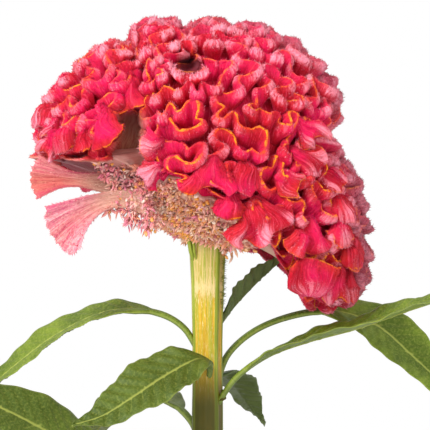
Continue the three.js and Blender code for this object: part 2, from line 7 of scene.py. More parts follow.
import bpy
import numpy as np
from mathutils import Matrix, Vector


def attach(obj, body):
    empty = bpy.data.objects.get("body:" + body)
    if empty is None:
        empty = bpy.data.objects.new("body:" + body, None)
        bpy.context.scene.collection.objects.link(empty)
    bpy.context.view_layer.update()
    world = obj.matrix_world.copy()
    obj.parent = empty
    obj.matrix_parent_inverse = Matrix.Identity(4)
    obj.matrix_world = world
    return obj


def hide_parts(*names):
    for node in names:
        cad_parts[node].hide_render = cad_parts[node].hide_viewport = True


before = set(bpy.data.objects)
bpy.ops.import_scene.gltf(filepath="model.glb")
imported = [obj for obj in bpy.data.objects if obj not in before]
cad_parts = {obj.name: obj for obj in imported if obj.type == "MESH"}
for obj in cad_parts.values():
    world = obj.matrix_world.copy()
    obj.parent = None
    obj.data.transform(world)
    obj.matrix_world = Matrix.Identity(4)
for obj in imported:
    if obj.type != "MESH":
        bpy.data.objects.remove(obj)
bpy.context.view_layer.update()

MM = 0.001
DEG = math.pi / 180
COMB_CENTRE = np.array([0.0, 0.0, 296.0])
STEM_FOOT, STEM_TOP = 84, 258
# The stem's radius at each height
STEM_RADII = [
    (84, 7.4), (125, 7), (185, 6.4), (204, 6.2), (222, 6.1), (240, 6.5), (250, 6.9), (262, 7.4), (270, 8),
]
SOIL_LEVEL = 108
# The comb's outline from the front, as degrees from +X and radius
OUTLINE = [
    (-60, 54), (-45, 82), (-30, 81), (-14, 69), (0, 61), (10, 55), (20, 61), (42, 64.5), (66, 64),
    (90, 62.5), (112, 67), (138, 70), (165, 75.5), (185, 71.5), (205, 62), (235, 52), (270, 46),
]
# How deep the comb is at each x, and the height of its crest's lower edge
FRONT_DEPTH = [(-80, 36), (-42, 40), (-31, 31), (-21, 46), (-8, 50), (40, 49), (80, 42)]
BACK_DEPTH = 47
EDGE_FRONT = [
    (-80, 7), (-32, 4), (-26, -5), (-12, -4), (-4, -10), (8, -15), (18, -23), (30, -30), (37, -42),
    (50, -58), (90, -60),
]
EDGE_BACK = [(-80, 6), (0, -22), (40, -42), (60, -56), (90, -60)]
# Name, width, stalk's share, wave, fold, where the upper face looks at foot and tip, and the midrib
LEAVES = [
    ("upper_left", 25, 0.2, 0.6, 9, (0.1, -0.2, 1), (-0.3, -0.34, 1),
     [(-4, 0, 219), (-10, 0, 228), (-20, 2, 233.5), (-40, 5, 234.5), (-62, 8, 225),
      (-87, 10, 206), (-112, 10, 183)]),
    ("front_left", 27, 0.14, 1.0, 9, (0, -0.6, 1), (-0.5, -1, 0.55),
     [(1, -4, 207), (1, -9, 214), (-4, -15, 216), (-17, -24, 210.5), (-30, -34, 203),
      (-42, -42, 196.5), (-54, -48, 193.5)]),
    ("back_right", 13, 0.2, 0.45, 20, (-0.6, 0.5, 0.8), (-0.8, 0.55, 0.6),
     [(3, 2, 226), (8, 6, 233), (14, 10, 239.5), (20, 13, 245.5), (26, 15.5, 251),
      (31, 17, 255), (35, 18, 258)]),
    ("right_long", 25, 0.16, 0.7, 12, (-0.2, 0.02, 1), (-0.1, -0.12, 1),
     [(4, -2, 195), (12, -5, 207), (25, -9, 217), (42, -14, 224), (62, -18, 230), (84, -20, 238),
      (106, -21, 245), (128, -21, 250.5)]),
    ("right_drooping", 26, 0.42, 0.8, 10, (-0.2, -0.1, 1), (0.55, -1, 0.75),
     [(4, 2, 204), (9, 5, 216), (22, 9, 226.5), (44, 13, 233), (59, 13, 232.5), (73, 10, 227),
      (87, 5, 215), (100, 0, 203), (113, -5, 189)]),
    ("lower_left", 34, 0.2, 1.1, 9, (0, -0.35, 1), (0.25, -0.9, 1),
     [(-4, -2, 146), (-12, -6, 155), (-25, -11, 164), (-42, -17, 173), (-62, -23, 185),
      (-85, -29, 198), (-105, -33, 205), (-122, -36, 203)]),
    ("behind", 21, 0.2, 0.9, 10, (0, 0.2, 1), (0.4, 0.85, 0.6),
     [(0, 4, 194), (2, 12, 203), (6, 26, 205), (11, 42, 199), (16, 56, 191), (21, 66, 183),
      (26, 73, 176)]),
    ("back_left", 28, 0.22, 1.1, 10, (0, 0.3, 1), (-0.5, 0.7, 0.7),
     [(-2, 4, 174), (-6, 12, 185), (-15, 26, 192), (-28, 44, 192), (-41, 62, 184),
      (-52, 77, 171), (-60, 88, 156)]),
    ("low_front", 36, 0.22, 1.3, 9, (0.1, -0.3, 1), (0.35, -0.9, 0.8),
     [(1, -4, 142), (5, -12, 152), (12, -27, 158), (22, -46, 158), (33, -66, 151),
      (43, -84, 140), (51, -98, 127)]),
    ("low_right", 38, 0.2, 1.4, 9, (0, 0, 1), (0.7, 0.25, 0.8),
     [(4, 1, 158), (13, 3, 168), (30, 7, 174), (53, 13, 173), (76, 20, 164), (97, 28, 150),
      (113, 35, 134)]),
    ("low_back", 36, 0.2, 1.3, 9, (0, 0, 1), (0.2, 0.8, 0.8),
     [(1, 4, 138), (4, 13, 148), (10, 29, 155), (20, 50, 156), (31, 71, 150), (41, 90, 139),
      (49, 104, 126)]),
    ("low_left", 36, 0.2, 1.3, 9, (0, 0, 1), (-0.8, 0.1, 0.8),
     [(-4, 1, 122), (-13, 4, 132), (-30, 9, 139), (-54, 15, 141), (-78, 20, 136), (-99, 24, 127),
      (-115, 26, 114)]),
]


# Chance, lines and smooth steps

def seeded(seed):
    """A function that gives repeatable random numbers from 0 to 1."""
    state = [seed & 0xFFFFFFFF]

    def draw():
        state[0] = (state[0] + 0x6D2B79F5) & 0xFFFFFFFF
        t = state[0]
        t = ((t ^ (t >> 15)) * (t | 1)) & 0xFFFFFFFF
        t ^= (t + (((t ^ (t >> 7)) * (t | 61)) & 0xFFFFFFFF)) & 0xFFFFFFFF
        return ((t ^ (t >> 14)) & 0xFFFFFFFF) / 4294967296

    return draw


def along(pairs, x):
    """The values at x of straight lines through (x, value) pairs."""
    x = np.asarray(x, float)
    xs, ys = np.array(pairs, float).T
    i = np.clip(np.searchsorted(xs, x, side="left"), 1, len(xs) - 1)
    y = ys[i - 1] + ((ys[i] - ys[i - 1]) * (x - xs[i - 1])) / (xs[i] - xs[i - 1])
    return np.where(x <= xs[0], ys[0], np.where(x > xs[-1], ys[-1], y))


def smooth(a, b, x):
    """A soft step from 0 at a to 1 at b."""
    t = np.clip((x - a) / (b - a), 0, 1)
    return t * t * (3 - 2 * t)


def turns(count):
    """Evenly spaced angles round a full turn."""
    return np.arange(count) / count * 2 * math.pi


def unit(v):
    return v * (1 / np.maximum(np.sqrt((v * v).sum(-1, keepdims=True)), 1e-12))


def wavy(p, scale, seed):
    """Smooth noise from -1 to 1 at points, as a few turned waves of about one size."""
    rng = np.random.default_rng(seed)
    total = np.zeros(len(p))
    for _ in range(6):
        way = unit(rng.normal(size=3)) * (2 * math.pi / scale) * rng.uniform(0.6, 1.5)
        total += np.sin(p @ way + rng.uniform(0, 2 * math.pi))
    return total / 3.2


# The comb's envelope and the ridge that grows on it, as in the solid part

def outline_radius(angle):
    a, r = np.array(OUTLINE, float).T
    a = np.concatenate([a[-2:] - 360, a, a[:2] + 360])
    r = np.concatenate([r[-2:], r, r[:2]])
    deg = np.fmod(np.fmod(angle / DEG, 360) + 360, 360)
    deg = np.where(deg > OUTLINE[-1][0], deg - 360, deg)
    i = np.searchsorted(a, deg, side="left") - 1
    t = (deg - a[i]) / (a[i + 1] - a[i])
    r9, r0, r1, r2 = r[i - 1], r[i], r[i + 1], r[i + 2]
    return r0 + 0.5 * t * (r1 - r9 + t * (2 * r9 - 5 * r0 + 4 * r1 - r2 + t * (3 * (r0 - r1) + r2 - r9)))


def depth_at(x, y):
    return np.where(y < 0, along(FRONT_DEPTH, x), BACK_DEPTH)


def envelope(u, inset=0.0):
    r = outline_radius(np.arctan2(u[:, 2], u[:, 0]))
    depth = depth_at(r * u[:, 0], u[:, 1])
    return np.stack([(r - inset) * u[:, 0], (depth - inset) * u[:, 1], (r - inset) * u[:, 2]], 1)


def direction_of(p):
    r = outline_radius(np.arctan2(p[:, 2], p[:, 0]))
    return unit(np.stack([p[:, 0] / r, p[:, 1] / depth_at(p[:, 0], p[:, 1]), p[:, 2] / r], 1))


def crest_edge(p):
    x, y = p[:, 0], p[:, 1]
    low = np.where(y < 0, along(EDGE_FRONT, x), along(EDGE_BACK, x))
    return low + 2 * np.sin(0.27 * x + 0.19 * y + 1) + 1.2 * np.sin(0.61 * x - 0.4 * y)


def on_envelope(p):
    q = envelope(direction_of(p))
    low = crest_edge(q)
    lifted = q.copy()
    lifted[:, 2] += 0.35 * (low - q[:, 2])
    return np.where((q[:, 2] >= low)[:, None], q, envelope(direction_of(lifted)))


def resample(p, step):
    out, need = [p[0]], step
    for a, b in zip(p[:-1], p[1:]):
        length = math.sqrt(((b - a) ** 2).sum())
        at = need
        while at <= length:
            out.append(a + (b - a) * (at / length))
            at += step
        need = at - length
    return np.array(out)


RIDGE_STEP = 3.3
RIDGE_SEED = 15
RIDGE_ROWS = 8
GROWTH_ROUNDS, CROWDED_ROUNDS = 150, 110
CROWD_SHARE = 0.011
LONGEST_MOVE = 0.9
# The room between folds on the comb and at its lower edge
FOLD_GAP, EDGE_GAP = 9.6, 13


def ridge_start():
    chance = seeded(RIDGE_SEED)
    points = []
    for row in range(RIDGE_ROWS):
        middle = (-90 + (180 * (row + 0.5)) / RIDGE_ROWS) * DEG
        wide, narrow = chance() * 2 * math.pi, chance() * 2 * math.pi
        psi = np.arange(-150, 151) * DEG
        turn = middle + 0.09 * np.sin(4.3 * psi + wide) + 0.05 * np.sin(9.1 * psi + narrow)
        u = np.stack([np.sin(turn), np.cos(turn) * np.sin(psi), np.cos(turn) * np.cos(psi)], 1)
        q = envelope(u)
        part = q[q[:, 2] > crest_edge(q) + 5]
        points.append(part[::-1] if row % 2 else part)
    return resample(np.concatenate(points), RIDGE_STEP)


def fold_gap(q):
    edge = smooth(30, 6, q[:, 2] - crest_edge(q)) * np.where(q[:, 1] < 0, 1, 0.4)
    x, y, z = q.T
    uneven = np.sin(0.085 * x + 1.1) * np.sin(0.11 * y - 0.6) + np.sin(0.1 * z + 0.07 * x)
    return (FOLD_GAP + (EDGE_GAP - FOLD_GAP) * edge) * (1 + 0.08 * uneven)


def ridge_pushes(p):
    """How each point moves: away from other folds, and towards an even step and a smooth line."""
    n, gaps = len(p), fold_gap(p)
    d2 = np.zeros((n, n))
    for k in range(3):
        d2 += (p[:, k][:, None] - p[:, k][None, :]) ** 2
    i, j = np.nonzero(d2 < (gaps * gaps)[:, None])
    keep = j >= i + 3
    i, j = i[keep], j[keep]
    d = np.sqrt(d2[i, j]) + 1e-6
    push = (p[i] - p[j]) * ((0.18 * (gaps[i] - d)) / d)[:, None]
    move = np.stack([np.bincount(i, push[:, k], n) - np.bincount(j, push[:, k], n) for k in range(3)], 1)
    step = p[:-1] - p[1:]
    d = np.sqrt((step * step).sum(1))
    pull = step * ((0.25 * (RIDGE_STEP - d)) / d)[:, None]
    move[:-1] += pull
    move[1:] -= pull
    move[1:-1] += ((p[:-2] + p[2:]) * 0.5 - p[1:-1]) * 0.12
    return move


def grown_ridge():
    chance = seeded(RIDGE_SEED + 1)
    p = ridge_start()
    for turn in range(GROWTH_ROUNDS):
        move = ridge_pushes(p)
        far = np.sqrt((move * move).sum(1))
        move *= np.where(far > LONGEST_MOVE, LONGEST_MOVE / np.maximum(far, 1e-9), 1)[:, None]
        q = np.floor(on_envelope(p + move) * 1e4 + 0.5) / 1e4
        d = np.sqrt(((q[1:] - q[:-1]) ** 2).sum(1))
        kept = [q[0]]
        for k in range(1, len(q)):
            crowd = turn < CROWDED_ROUNDS and chance() < CROWD_SHARE
            if d[k - 1] > 1.4 * RIDGE_STEP or crowd:
                kept.append((q[k] + q[k - 1]) * 0.5)
            if d[k - 1] > 0.35 * RIDGE_STEP or k == len(q) - 1:
                kept.append(q[k])
        p = np.array(kept)
    return p


def blended(p, reach, step):
    """The rows of p, evened out along the line over reach."""
    span = math.ceil(2.5 * reach / step)
    total, out = 0.0, np.zeros_like(p)
    index = np.arange(len(p))
    for k in range(-span, span + 1):
        w = math.exp(-0.5 * ((k * step) / reach) ** 2)
        out += w * p[np.clip(index + k, 0, len(p) - 1)]
        total += w
    return out / total


def outward(p):
    x, y, z = p.T
    return unit(np.stack([0.7 * x, 0.85 * y, z + 20 + 0.5 * np.maximum(0, x)], 1))


def course(line):
    """For each point of a line: the step from the point before it to the next."""
    index = np.arange(len(line))
    return line[np.minimum(index + 1, len(line) - 1)] - line[np.maximum(index - 1, 0)]


def sides_of(line, out):
    return unit(np.cross(course(line), out))


def lerp(u, v, from_t, to_t, t):
    return (to_t - t) / (to_t - from_t) * u + (t - from_t) / (to_t - from_t) * v


def catmull(points, count):
    """Points spaced evenly along a centripetal spline through points, with its directions."""
    p = [np.array(q, float) for q in points]
    p = [2 * p[0] - p[1]] + p + [2 * p[-1] - p[-2]]
    fine = []
    for a, b, c, d in zip(p, p[1:], p[2:], p[3:]):
        t = [0.0]
        for u, v in ((a, b), (b, c), (c, d)):
            t.append(t[-1] + math.sqrt(math.sqrt(((v - u) ** 2).sum())))
        for x in np.linspace(t[1], t[2], 60, endpoint=False):
            ab, bc, cd = (lerp(*pair, x) for pair in ((a, b, *t[:2]), (b, c, *t[1:3]), (c, d, *t[2:])))
            abc, bcd = lerp(ab, bc, t[0], t[2], x), lerp(bc, cd, t[1], t[3], x)
            fine.append(lerp(abc, bcd, t[1], t[2], x))
    fine = np.array(fine + [p[-2]])
    run = np.concatenate([[0], np.cumsum(np.sqrt((np.diff(fine, axis=0) ** 2).sum(1)))])
    at = np.linspace(0, run[-1], count)
    line = np.stack([np.interp(at, run, fine[:, k]) for k in range(3)], 1)
    return line, unit(course(line)), run[-1]


# Meshes

def make_piece(name, part, look, smooth_faces=True):
    """A visible piece of (points, faces, uv, tint). Its look is its material, a slot that is not used, and
    the replaced node.
    """
    points, faces, uv, tint = part
    material, slot, node = look
    mesh = bpy.data.meshes.new(name)
    mesh.vertices.add(len(points))
    mesh.vertices.foreach_set("co", (np.asarray(points, np.float32) * MM).ravel())
    n, k = faces.shape
    mesh.loops.add(n * k)
    mesh.loops.foreach_set("vertex_index", faces.ravel().astype(np.int32))
    mesh.polygons.add(n)
    mesh.polygons.foreach_set("loop_start", np.arange(0, n * k, k, dtype=np.int32))
    layer = mesh.uv_layers.new(name="UVMap")
    layer.data.foreach_set("uv", np.asarray(uv, np.float32)[faces.ravel()].ravel())
    layer = mesh.color_attributes.new("tint", "FLOAT_COLOR", "POINT")
    colour = np.zeros((len(points), 4), np.float32)
    colour[:, :tint.shape[1]] = np.clip(tint, 0, 1)
    layer.data.foreach_set("color", colour.ravel())
    mesh.update(calc_edges=True)
    mesh.validate()
    mesh.polygons.foreach_set("use_smooth", np.full(n, smooth_faces))
    mesh.materials.append(material)
    piece = bpy.data.objects.new(name, mesh)
    bpy.context.scene.collection.objects.link(piece)
    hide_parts(node)
    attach(piece, "root")


def make_comb_piece(name, part, look, smooth_faces=True):
    """A piece whose points are given from the comb's centre."""
    points, *others = part
    make_piece(name, (points + COMB_CENTRE, *others), look, smooth_faces)


def grid_faces(rows, cols, ring=False):
    """Quads of a grid of points, row by row; ring closes each row on itself."""
    i = np.arange(rows - 1)[:, None]
    j = np.arange(cols if ring else cols - 1)[None, :]
    k = (j + 1) % cols
    quads = [i * cols + j, i * cols + k, (i + 1) * cols + k, (i + 1) * cols + j]
    return np.stack([np.broadcast_to(q, (rows - 1, j.size)) for q in quads], -1).reshape(-1, 4)


def joined(parts):
    """Several (points, faces, uv, tint) as one."""
    points, faces, uvs, tints = zip(*parts)
    starts = np.cumsum([0] + [len(p) for p in points[:-1]])
    faces = [np.asarray(f) + start for f, start in zip(faces, starts)]
    return [np.concatenate(x) for x in (points, faces, uvs, tints)]


def closed(grids):
    """Grids of (points, uv, tint), whose rows run round, as parts for joined."""
    return [(p.reshape(-1, 3), grid_faces(*p.shape[:2], ring=True), u.reshape(-1, 2), t.reshape(-1, 4))
            for p, u, t in grids]


def two_faced(front, back=None):
    """A grid whose rows run over the front face and return over the back."""
    return np.concatenate([front, (front if back is None else back)[:, ::-1]], 1)


def axes(p):
    """The x, y and z of points in an array of any shape."""
    return np.moveaxis(p, -1, 0)


# Materials

class Nodes:
    """A small builder for one material's nodes. Colours are given as RRGGBB."""

    def __init__(self, name, roughness, sheen=0.0, sheen_tint=(1, 1, 1), specular=0.5, soft=0.0):
        self.material = bpy.data.materials.new(name)
        self.material.use_nodes = True
        self.tree = self.material.node_tree
        self.shader = self.tree.nodes["Principled BSDF"]
        self.fill(self.shader, {
            "Roughness": roughness, "Specular IOR Level": specular, "Sheen Weight": sheen,
            "Sheen Roughness": 0.4, "Sheen Tint": (*sheen_tint, 1), "Subsurface Weight": soft,
            "Subsurface Radius": (1.0, 0.35, 0.3), "Subsurface Scale": 0.0022,
        })

    def fill(self, node, inputs):
        """Link each input, by name or number, to a socket, or give it a value."""
        for key, value in inputs.items():
            if isinstance(value, bpy.types.NodeSocket):
                self.tree.links.new(value, node.inputs[key])
            else:
                node.inputs[key].default_value = (*srgb(value), 1) if isinstance(value, str) else value

    def add(self, kind, inputs, **settings):
        """The outputs of a new node."""
        node = self.tree.nodes.new(kind)
        for key, value in settings.items():
            setattr(node, key, value)
        self.fill(node, inputs)
        return node.outputs

    def tint(self):
        """The four values of the colour at each point."""
        source = self.add("ShaderNodeVertexColor", {}, layer_name="tint")
        return [*self.add("ShaderNodeSeparateColor", {0: source["Color"]})[:3], source["Alpha"]]

    def uv(self, scale=(1, 1, 1)):
        flat = self.add("ShaderNodeUVMap", {}, uv_map="UVMap")[0]
        return self.add("ShaderNodeMapping", {"Vector": flat, "Scale": scale})[0]

    def place(self, scale=(1, 1, 1)):
        at = self.add("ShaderNodeTexCoord", {})["Object"]
        return self.add("ShaderNodeMapping", {"Vector": at, "Scale": scale})[0]

    def xyz(self, vector):
        return self.add("ShaderNodeSeparateXYZ", {0: vector})[:3]

    def noise(self, vector, scale=1.0, detail=3.0, roughness=0.55):
        inputs = {"Vector": vector, "Scale": scale, "Detail": detail, "Roughness": roughness}
        return self.add("ShaderNodeTexNoise", inputs)[0]

    def plus(self, a, b):
        return self.add("ShaderNodeMath", {0: a, 1: b}, operation="ADD")[0]

    def times(self, a, b):
        return self.add("ShaderNodeMath", {0: a, 1: b}, operation="MULTIPLY")[0]

    def rest(self, a):
        """What is left of 1 after a."""
        return self.add("ShaderNodeMath", {0: 1.0, 1: a}, operation="SUBTRACT")[0]

    def span(self, value, low, high, to_low=0.0, to_high=1.0):
        """A soft step from to_low, where value is low, to to_high, where it is high."""
        inputs = {"Value": value, "From Min": low, "From Max": high, "To Min": to_low, "To Max": to_high}
        return self.add("ShaderNodeMapRange", inputs, interpolation_type="SMOOTHSTEP")["Result"]

    def mix(self, factor, a, b):
        return self.add("ShaderNodeMix", {0: factor, 6: a, 7: b}, data_type="RGBA")[2]

    def between(self, value, low, high, first, second):
        return self.mix(self.span(value, low, high), first, second)

    def layers(self, base, *rows):
        """Colours over base, each with what spans it as for span."""
        for value, low, high, to_low, to_high, colour in rows:
            base = self.mix(self.span(value, low, high, to_low, to_high), base, colour)
        return base

    def finished(self, colour, height, distance, strength):
        """The material, with its colour and a bump from height."""
        bump = self.add("ShaderNodeBump", {"Strength": strength, "Distance": distance, "Height": height})[0]
        self.fill(self.shader, {"Base Color": colour, "Normal": bump})
        return self.material


def srgb(text):
    """A colour given as RRGGBB, in linear light."""
    parts = [int(text[i:i + 2], 16) / 255 for i in (0, 2, 4)]
    return tuple(c / 12.92 if c <= 0.04045 else ((c + 0.055) / 1.055) ** 2.4 for c in parts)


def crest_material():
    m = Nodes("crest_velvet", 0.68, sheen=0.06, sheen_tint=(1.0, 0.5, 0.55), specular=0.15, soft=0.4)
    crown, deep, painted_side_shade, beige = m.tint()
    streak = m.noise(m.uv((1.7, 0.12, 1)), detail=4.0, roughness=0.62)
    broad = m.noise(m.place(), 60.0, detail=2.0)
    fine = m.noise(m.uv((6.0, 1.2, 1)), detail=2.0, roughness=0.7)
    # crown: pale velvet tips with painted highlight, which lit spreads along the streaks; some bracts take it
    # at random
    lit = m.times(crown, m.span(streak, 0.3, 0.62, 0.25, 1.15))
    # deep: painted shade below the rim, on the core and darkest in the one dark hollow; some bracts take it
    # at random as a deeper red
    red = m.layers(
        m.between(broad, 0.38, 0.64, "be0422", "dc0452"),
        (streak, 0.3, 0.44, 0.6, 0, "920418"), (streak, 0.5, 0.72, 0, 0.9, "ec4866"),
        (fine, 0.4, 0.8, 0, 0.25, "f05a6c"), (lit, 0.12, 0.95, 0, 1, "f294a6"),
        (deep, 0.45, 1.25, 0, 1, "a4102c"), (deep, 0.92, 1, 0, 0.8, "5c2830"),
    )
    # Painted shade on the right, the upper back and behind: a muted mauve
    red = m.mix(m.times(painted_side_shade, 0.8), red, m.between(fine, 0.3, 0.7, "84344a", "c47480"))
    below_rim = m.xyz(m.uv())[1]
    x, _, z = m.xyz(m.place())
    # Brown of the cleft and the left end's underside, darker towards the top as painted shade in the cleft
    brown = m.between(streak, 0.3, 0.7, "a8604e", "cc9478")
    red = m.mix(beige, red, m.layers(brown, (z, 0.300, 0.318, 0, 0.8, "803c3a")))
    # The bright rim is weaker at the upper right, on pale crowns, in painted side shade, on brown places, and
    # in patches
    keep = m.span(m.plus(m.times(x, 0.35), z), 0.316, 0.35, 1, 0.3)
    for faded in (m.times(painted_side_shade, 0.85), m.times(crown, 0.6), beige):
        keep = m.times(keep, m.rest(faded))
    keep = m.times(keep, m.span(m.noise(m.place(), 75.0, detail=1.0), 0.43, 0.53, 0.12, 1))
    bright = m.span(m.noise(m.uv((0.1, 0, 1)), detail=1.0), 0.42, 0.56)
    red = m.mix(m.times(m.span(below_rim, 0.3, 2.6, 0.55, 0), keep), red, "d83428")
    orange = m.mix(bright, "f45424", "ff9a20")
    red = m.mix(m.times(m.span(below_rim, 0.08, 0.38, 1, 0), keep), red, orange)
    return m.finished(red, m.plus(streak, m.times(fine, 0.5)), 0.0006, 0.6)


# Crest: sheets along the ridge, puffed up where the ridge bends, each with a thin bright rim

FOLD_STEP = 0.85
SHEET_DEPTH = 14
# A sheet's half thickness at each depth below its rim, where the sheet bulges and where it is flat
CONVEX = [
    (0, 0.2), (0.12, 0.6), (0.45, 1.25), (1.0, 2.05), (1.9, 2.8), (3.1, 3.25), (4.5, 3.15), (6.1, 2.7),
    (8, 2.1), (10, 1.7), (12, 1.5), (SHEET_DEPTH, 1.4),
]
FLAT = [
    (0, 0.2), (0.2, 0.38), (0.6, 0.58), (1.3, 0.85), (2.3, 1.15), (3.5, 1.38), (4.9, 1.5), (6.5, 1.55),
    (8.2, 1.55), (10, 1.5), (12, 1.45), (SHEET_DEPTH, 1.4),
]


def crest_lines():
    """The ridge's foot line and its rim line, which waves more tightly where the foot runs straight."""
    fine = resample(blended(grown_ridge(), 1.6, RIDGE_STEP), FOLD_STEP)
    foot = blended(fine, 1.1, FOLD_STEP)
    out = outward(foot)
    side = sides_of(blended(foot, 2.0, FOLD_STEP), out)
    bend = foot - blended(foot, 5.0, FOLD_STEP)
    size = blended(np.sqrt((bend * bend).sum(1, keepdims=True)), 3.0, FOLD_STEP)[:, 0]
    low = smooth(26, 6, foot[:, 2] - crest_edge(foot)) * smooth(10, -10, foot[:, 1])
    low = np.maximum(low, 0.85 * smooth(0.15, 0.6, wavy(foot, 40, 34)))
    length = (10.5 + 7.5 * low) * (1 + 0.3 * wavy(foot, 30, 33))
    turn = 2 * math.pi * np.cumsum(FOLD_STEP / length) + 1.8 * wavy(foot, 22, 31)
    width = (2.3 + 1.5 * low) * (1 - 0.55 * smooth(0.8, 2.4, size)) * (1 + 0.4 * wavy(foot, 17, 32))
    wave = width * np.sin(turn)
    return foot, foot + side * wave[:, None], out, side


def pale_places(p):
    """How pale the crowns are at points, as pale velvet tips and painted highlight: more at the top, on the
    right and on the left end.
    """
    x, _, z = axes(p)
    top = 0.7 * smooth(22, 46, z + 0.2 * x)
    ends = np.maximum(smooth(-52, -66, x), 0.9 * smooth(44, 58, x))
    patches = 0.45 * smooth(-0.3, 0.9, wavy(p.reshape(-1, 3), 26, 41).reshape(x.shape))
    return np.clip(0.24 + 0.8 * np.maximum(top, ends) + patches, 0, 1)


def painted_shade_places(p):
    """How much painted shade the crest gets: at the right, at the upper back and behind."""
    x, y, z = axes(p)
    rightward = smooth(46, 64, x + 0.1 * z) * smooth(-34, -8, y)
    upper = smooth(-22, 4, y) * smooth(14, 34, z) * smooth(-70, 10, x)
    return np.maximum(np.maximum(rightward, 0.8 * upper), 0.4 * smooth(8, 30, y))


def beige_places(p):
    """Where the crest's own skin turns to the flank's brown: in the cleft and under the left end."""
    x, y, z = axes(p)
    cleft = np.exp(-(((x + 31) / 7) ** 4)) * smooth(26, 20, z) * smooth(-2, -8, y)
    under = smooth(4.5, 0.5, z + 0.06 * (x + 40)) * smooth(-22, -30, x) * smooth(5, -8, y)
    return np.clip(cleft + under, 0, 1)


# The lower front edge's height at each x, and dents as x, z, width and depth
LOWEST = [(-80, 6), (-31, 5), (-22, 3), (-10, -1), (4, -5), (14, -12), (24, -23), (34, -42), (50, -80)]
DENTS = [(-35, 55, 3.5, 5), (-9, 62, 5, 3), (12, 66, 4, 1.5), (54, 14, 4, 9), (73, -33, 4, 3), (-72, 8, 3, 2)]


def cleft_share(p):
    """How much a point lies in the cleft between the left end and the rest of the comb."""
    x, y, z = axes(p)
    wide = 4.2 + 3.5 * smooth(16, 2, z)
    return np.exp(-(((x + 31) / wide) ** 4)) * smooth(25, 19, z) * smooth(-12, -20, y)


def dark_hollow(p):
    """How much a point lies in the one dark hollow high on the front."""
    x, y, z = axes(p)
    return np.exp(-(((x + 7) / 6) ** 2) - ((z - 42) / 4) ** 2) * smooth(0, -10, y)


def hollow_shade(p):
    return np.minimum(1, 2.2 * dark_hollow(p))


def shaped(p):
    """The comb's own unevenness: a raised lower front edge, dents in its outline and one dark hollow."""
    x, y, z = axes(p).copy()
    low = along(LOWEST, x)
    z += smooth(8, -8, y) * 0.68 * np.maximum(0, low - z)
    for dent_x, dent_z, wide, deep in DENTS:
        far = math.hypot(dent_x, dent_z)
        miss = (x * dent_z - z * dent_x) / far
        share = np.exp(-((miss / wide) ** 2)) * smooth(0.6 * far, far, (x * dent_x + z * dent_z) / far)
        x -= share * deep * dent_x / far
        z -= share * deep * dent_z / far
    y += 17 * dark_hollow(np.stack([x, y, z], -1))
    return np.stack([x, y, z], -1)


def crest_sheets(low, line, out, low_side):
    """The folds as one long grid: down one face of the ridge's sheet and up the other at each step."""
    side = sides_of(blended(line, 1.2, FOLD_STEP), out)
    side = unit(side + 0.5 * low_side)
    bend = line - blended(line, 3.8, FOLD_STEP)
    bend -= out * (bend * out).sum(1, keepdims=True)
    size = np.sqrt((bend * bend).sum(1, keepdims=True))
    bend *= np.minimum(1, 3.0 / np.maximum(size, 1e-9))
    lean = (bend * side).sum(1)
    arc = np.arange(len(line)) * FOLD_STEP
    warp = 2.2 * wavy(line, 14, 21)
    pleat = np.sin(2 * math.pi * arc / 3.6 + warp) * 0.6 + 0.4 * np.sin(2 * math.pi * arc / 2.3 + 2 * warp)
    puff = np.clip(size[:, 0] / 1.9, 0, 1)
    puff = blended(puff[:, None], 1.6, FOLD_STEP)[:, 0]
    high = 0.3 * puff - 3.4 * (1 - puff) + 0.8 * wavy(line, 12, 3) + 0.35 * pleat
    foot = blended(low, 3.5, FOLD_STEP) - out * SHEET_DEPTH
    top = line + 0.35 * bend
    lateral = top - (foot + out * SHEET_DEPTH)
    rings, uvs, tints = [], [], []
    order = [(k, 1) for k in range(len(FLAT) - 1, -1, -1)] + [(k, -1) for k in range(len(FLAT))]
    pale = pale_places(line)
    for k, face in order:
        convex = np.clip(lean * face / 1.5, 0, 1) ** 0.8
        depth = FLAT[k][0] + (CONVEX[k][0] - FLAT[k][0]) * convex
        wide = FLAT[k][1] + (CONVEX[k][1] - FLAT[k][1]) * convex
        s = 1 - depth / SHEET_DEPTH
        near = np.exp(-((depth - 1.2) / 4.2) ** 2)
        wide = wide + 0.32 * pleat * near * (0.4 + 0.6 * convex)
        centre = foot + out * (SHEET_DEPTH * s + high * s)[:, None] + lateral * (s ** 1.6)[:, None]
        rings.append(centre + side * (face * wide)[:, None])
        uvs.append(np.stack([arc, depth], 1))
        # The pale crown on the convex face near the rim: pale velvet tips with painted highlight
        crown = convex * np.exp(-(((depth - 1.3) / 2.4) ** 2)) * pale
        # Painted shade, deeper below the rim and less on the convex face
        deep = np.clip((depth - 3.5) / 8, 0, 1) * (1 - 0.35 * convex)
        tints.append(np.stack([crown, deep], 1))
    points = np.stack(rings, 1)
    uv, tint = np.stack(uvs, 1), np.stack(tints, 1)
    tint[..., 1] = np.maximum(tint[..., 1], hollow_shade(points))
    points = shaped(points)
    cleft = cleft_share(points)
    points[..., 1] += 20 * cleft
    more = np.stack([painted_shade_places(points), beige_places(points)], -1)
    return points, uv, np.concatenate([tint, more], -1)
